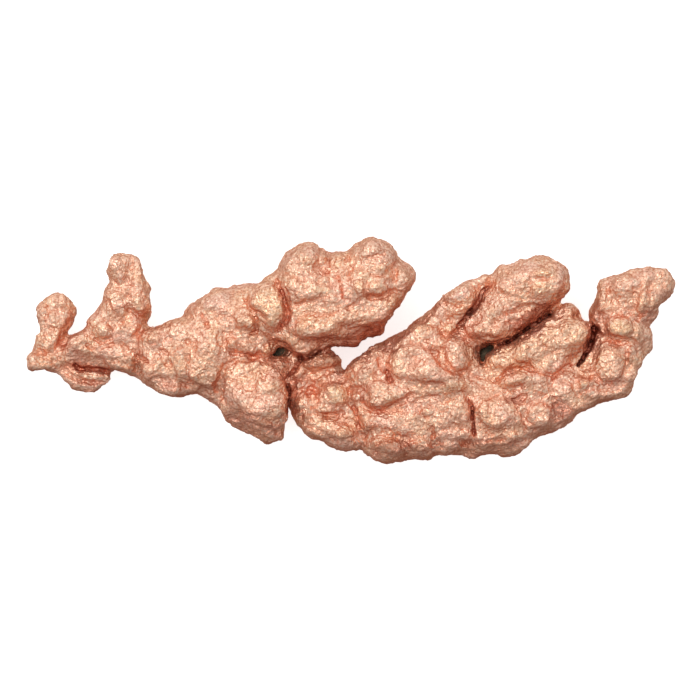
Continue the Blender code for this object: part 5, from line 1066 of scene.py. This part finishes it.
def shape_skin(mesh):
    """Raises the upper side and cuts its creases as the tables say, with paths and outlines that waver a little."""
    points = points_of(mesh)
    normals = facing(mesh, 25)
    wander = noise_vectors(points, 1.2, 2, 9, (2, 5)) + 0.5 * noise_vectors(points, 0.5, 2, 9, (7, 3))
    relief = Relief(points[:, :2] - TABLE_ORIGIN + WAVER * wander)
    top = top_share(normals)
    points[:, :2] += REGROWTH * normals[:, :2]
    points += normals * (relief.height * top)[:, None]
    points[:, 2] -= relief.cut * top
    set_points(mesh, points)


def crumple(mesh, calm):
    """Lays waves and facets over the whole skin, and less of them where it is calm."""
    points = points_of(mesh)
    normals = facing(mesh, 4)
    upright = 1 - np.abs(normals[:, 2])
    rim = np.clip((RIM_LEVELS[1] - points[:, 2]) / (RIM_LEVELS[1] - RIM_LEVELS[0]), 0, 1)
    bent = points + BEND * noise_vectors(points, 1.2, 3, 7, (3, 1))
    height = WAVES[0] * (waves(bent, WAVES[1]) - 0.3)
    for level, gain, width, shift in FACETS:
        height += (level + gain * upright) * facets(bent, width, shift)
    level, width, shift = RIM_FACETS
    height += level * upright * rim * facets(bent, width, shift)
    height *= np.clip(points[:, 2] / REST_LEVEL, 0, 1) * (1 - CALMED * calm)
    set_points(mesh, points + normals * height[:, None])


def skin(node):
    mesh = node.data.copy()
    mesh.transform(Matrix.Scale(1 / MM, 4))
    obj = new_object("nugget_skin", mesh)
    obj.data.materials.clear()
    remesh(obj, FORM_VOXEL)
    smooth(obj, FORM_SMOOTHING)
    fill_hollows(obj.data)
    square_shoulders(obj.data)
    add_flaps(obj.data)
    remesh(obj, SKIN_VOXEL)
    smooth(obj, SKIN_SMOOTHING)
    shape_skin(obj.data)
    remesh(obj, SKIN_VOXEL)
    smooth(obj, 1)
    relief, top = relief_of(obj.data)
    crumple(obj.data, np.maximum(relief.calm, np.clip(relief.cut, 0, 1)) * top)
    thin_out(obj, TRIANGLES)
    points = points_of(obj.data)
    points[:, 2] = np.maximum(points[:, 2], 0)
    points[:, 2] -= PRESSED * np.maximum(points[:, 2] - TOP, 0)
    set_points(obj.data, points)
    return obj


def paint(mesh):
    """Stores what the copper's colour depends on, one value a point, the painted shade of hollows, cuts, creases and
    shaded sides among them.
    """
    points = points_of(mesh)
    normals = normals_of(mesh)
    edges = edges_of(mesh)
    relief, top = relief_of(mesh)
    faces = averaged(normals, edges, 8)
    # Painted shade: the skin is darker where it faces -Y, away from the light, and where it faces down
    front_shade = PAINTED_SHADE_FRONT * np.clip(-faces[:, 1], 0, 1) * np.clip(1.25 - faces[:, 2], 0, 1)
    underside_shade = PAINTED_SHADE_UNDERSIDE * np.clip(-2 * faces[:, 2], 0, 1)
    values = {
        # the painted shade of concave spots: how far each point lies below the mean of its neighbours
        "hollow_shade": ((averaged(points, edges, 6) - points) * normals).sum(axis=1),
        "gold": relief.gold * top,
        # the painted red shade of the creases
        "red": relief.red * top,
        # the painted shade of the deep cuts
        "deep_cut_shade": relief.cut * top,
        # the painted shade of the spots, of the sides towards -Y and of the underside
        "painted_shade": np.maximum(relief.painted_shade, np.maximum(front_shade, underside_shade)),
    }
    for name, value in values.items():
        mesh.attributes.new(name, "FLOAT", "POINT").data.foreach_set("value", value.astype(np.float32))


def new_material(name, roughness):
    material = bpy.data.materials.new(name)
    material.use_nodes = True
    tree = material.node_tree
    shader = tree.nodes["Principled BSDF"]
    shader.inputs["Roughness"].default_value = roughness
    return material, tree, shader


def put(tree, socket, value):
    """Links the socket to another node's output, or sets it to a value."""
    if isinstance(value, bpy.types.NodeSocket):
        tree.links.new(value, socket)
    else:
        socket.default_value = value


def new_node(tree, kind, inputs, **settings):
    node = tree.nodes.new("ShaderNode" + kind)
    for name, value in settings.items():
        setattr(node, name, value)
    for name, value in inputs.items():
        put(tree, node.inputs[name], value)
    return node


def in_object(tree):
    return new_node(tree, "TexCoord", {}).outputs["Object"]


def noise_texture(tree, scale, detail, roughness=0.5):
    inputs = {"Vector": in_object(tree), "Scale": scale, "Detail": detail, "Roughness": roughness}
    return new_node(tree, "TexNoise", inputs)


def attribute(tree, name):
    return new_node(tree, "Attribute", {}, attribute_name=name).outputs["Fac"]


def between(tree, value, low, high, share=1):
    """0 where the value is low, and this share where it is high."""
    inputs = {"Value": value, "From Min": low, "From Max": high, "To Max": share}
    return new_node(tree, "MapRange", inputs).outputs["Result"]


def mixed(tree, share, colour, other):
    """The colour turned into the other by this share."""
    return new_node(tree, "Mix", {"Factor": share, "A": colour, "B": other}, data_type="RGBA").outputs["Result"]


def calculated(tree, operation, *values):
    return new_node(tree, "Math", dict(enumerate(values)), operation=operation).outputs[0]


def seams_texture(tree):
    """How far a point is from the nearest of the fine seams, whose paths waver."""
    wander = {0: noise_texture(tree, 1500, 2).outputs["Color"], 1: (SEAM_WANDER,) * 3, 2: in_object(tree)}
    moved = new_node(tree, "VectorMath", wander, operation="MULTIPLY_ADD").outputs[0]
    inputs = {"Vector": moved, "Scale": 1100}
    return new_node(tree, "TexVoronoi", inputs, feature="DISTANCE_TO_EDGE").outputs["Distance"]


def copper():
    material, tree, shader = new_material("native_copper", 0.36)
    shader.inputs["Metallic"].default_value = 0.85
    shader.inputs["Specular Tint"].default_value = COPPER_SHEEN
    textures = {
        "patches": noise_texture(tree, 350, 5).outputs["Fac"],
        # fine speckle of painted glints and painted shade
        "glint_and_shade_speckle": noise_texture(tree, 3000, 2, 0.65).outputs["Fac"],
        "seams": seams_texture(tree),
    }
    colour = COPPER
    for name, low, high, share, tint in TINTS:
        value = textures[name] if name in textures else attribute(tree, name)
        colour = mixed(tree, between(tree, value, low, high, share), colour, (*tint, 1))
    put(tree, shader.inputs["Base Color"], colour)
    grain = noise_texture(tree, 1900, 2).outputs["Fac"]
    bump = new_node(tree, "Bump", {"Strength": 1, "Distance": GRAIN_HEIGHT, "Height": grain})
    put(tree, shader.inputs["Normal"], bump.outputs["Normal"])
    return material


def rock():
    material, tree, shader = new_material("host_rock", 0.8)
    tint = new_node(tree, "ValToRGB", {"Fac": noise_texture(tree, 1500, 5).outputs["Fac"]})
    for element, (position, colour) in zip(tint.color_ramp.elements, ROCK_TINTS):
        element.position = position
        element.color = colour
    put(tree, shader.inputs["Base Color"], tint.outputs["Color"])
    return material


def floor():
    mesh = bpy.data.meshes.new("floor")
    body = bmesh.new()
    bmesh.ops.create_grid(body, x_segments=1, y_segments=1, size=2)
    body.to_mesh(mesh)
    body.free()
    obj = new_object("floor", mesh)
    obj.location.z = -0.02 * MM
    material, _, shader = new_material("floor_white", 0.9)
    shader.inputs["Base Color"].default_value = (0.8, 0.8, 0.8, 1)
    shader.inputs["Emission Color"].default_value = (1, 1, 1, 1)
    shader.inputs["Emission Strength"].default_value = 0.7
    mesh.materials.append(material)
    obj.visible_glossy = False


def camera():
    lens = bpy.data.cameras.new("camera")
    lens.sensor_width = SENSOR
    lens.lens = SENSOR * (CAMERA_HEIGHT - VIEW_LEVEL) / VIEW_WIDTH
    obj = new_object("camera", lens)
    obj.location = Vector((*VIEW_MIDDLE, CAMERA_HEIGHT)) * MM
    bpy.context.scene.camera = obj


def key_light():
    light = bpy.data.lights.new("key", "AREA")
    light.size = KEY_SIZE
    light.energy = KEY_POWER
    obj = new_object("key", light)
    obj.location = KEY_PLACE
    obj.rotation_euler = (-Vector(KEY_PLACE)).to_track_quat("-Z", "Y").to_euler()


def studio():
    world = bpy.data.worlds.new("studio")
    bpy.context.scene.world = world
    world.use_nodes = True
    tree = world.node_tree
    direction = new_node(tree, "TexCoord", {}).outputs["Generated"]
    split = new_node(tree, "SeparateXYZ", {0: direction}).outputs
    level = new_node(tree, "ValToRGB", {"Fac": between(tree, split["Z"], -1, 1)})
    ramp = level.color_ramp.elements
    for position, value in WORLD_LEVELS:
        ramp.new(position).color = (value, value, value, 1)
    ramp.remove(ramp[0])
    ramp.remove(ramp[-1])
    total = level.outputs["Color"]
    for axis, share in zip("XY", WORLD_SIDES):
        total = calculated(tree, "MULTIPLY_ADD", split[axis], share, total)
    background = tree.nodes["Background"]
    background.inputs["Color"].default_value = (1, 1, 1, 1)
    put(tree, background.inputs["Strength"], calculated(tree, "MAXIMUM", total, LEAST_LIGHT))
    bpy.context.scene.view_settings.view_transform = "Standard"


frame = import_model()
nugget = skin(frame["nodes"]["copper_nugget"])
paint(nugget.data)
nugget.data.transform(Matrix.Scale(MM, 4))
nugget.data.materials.append(copper())
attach(nugget, "root")
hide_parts("copper_nugget")
stone = rock()
for name in ("host_rock_chip_left", "host_rock_chip_right"):
    frame["nodes"][name].material_slots[0].material = stone
floor()
camera()
key_light()
studio()
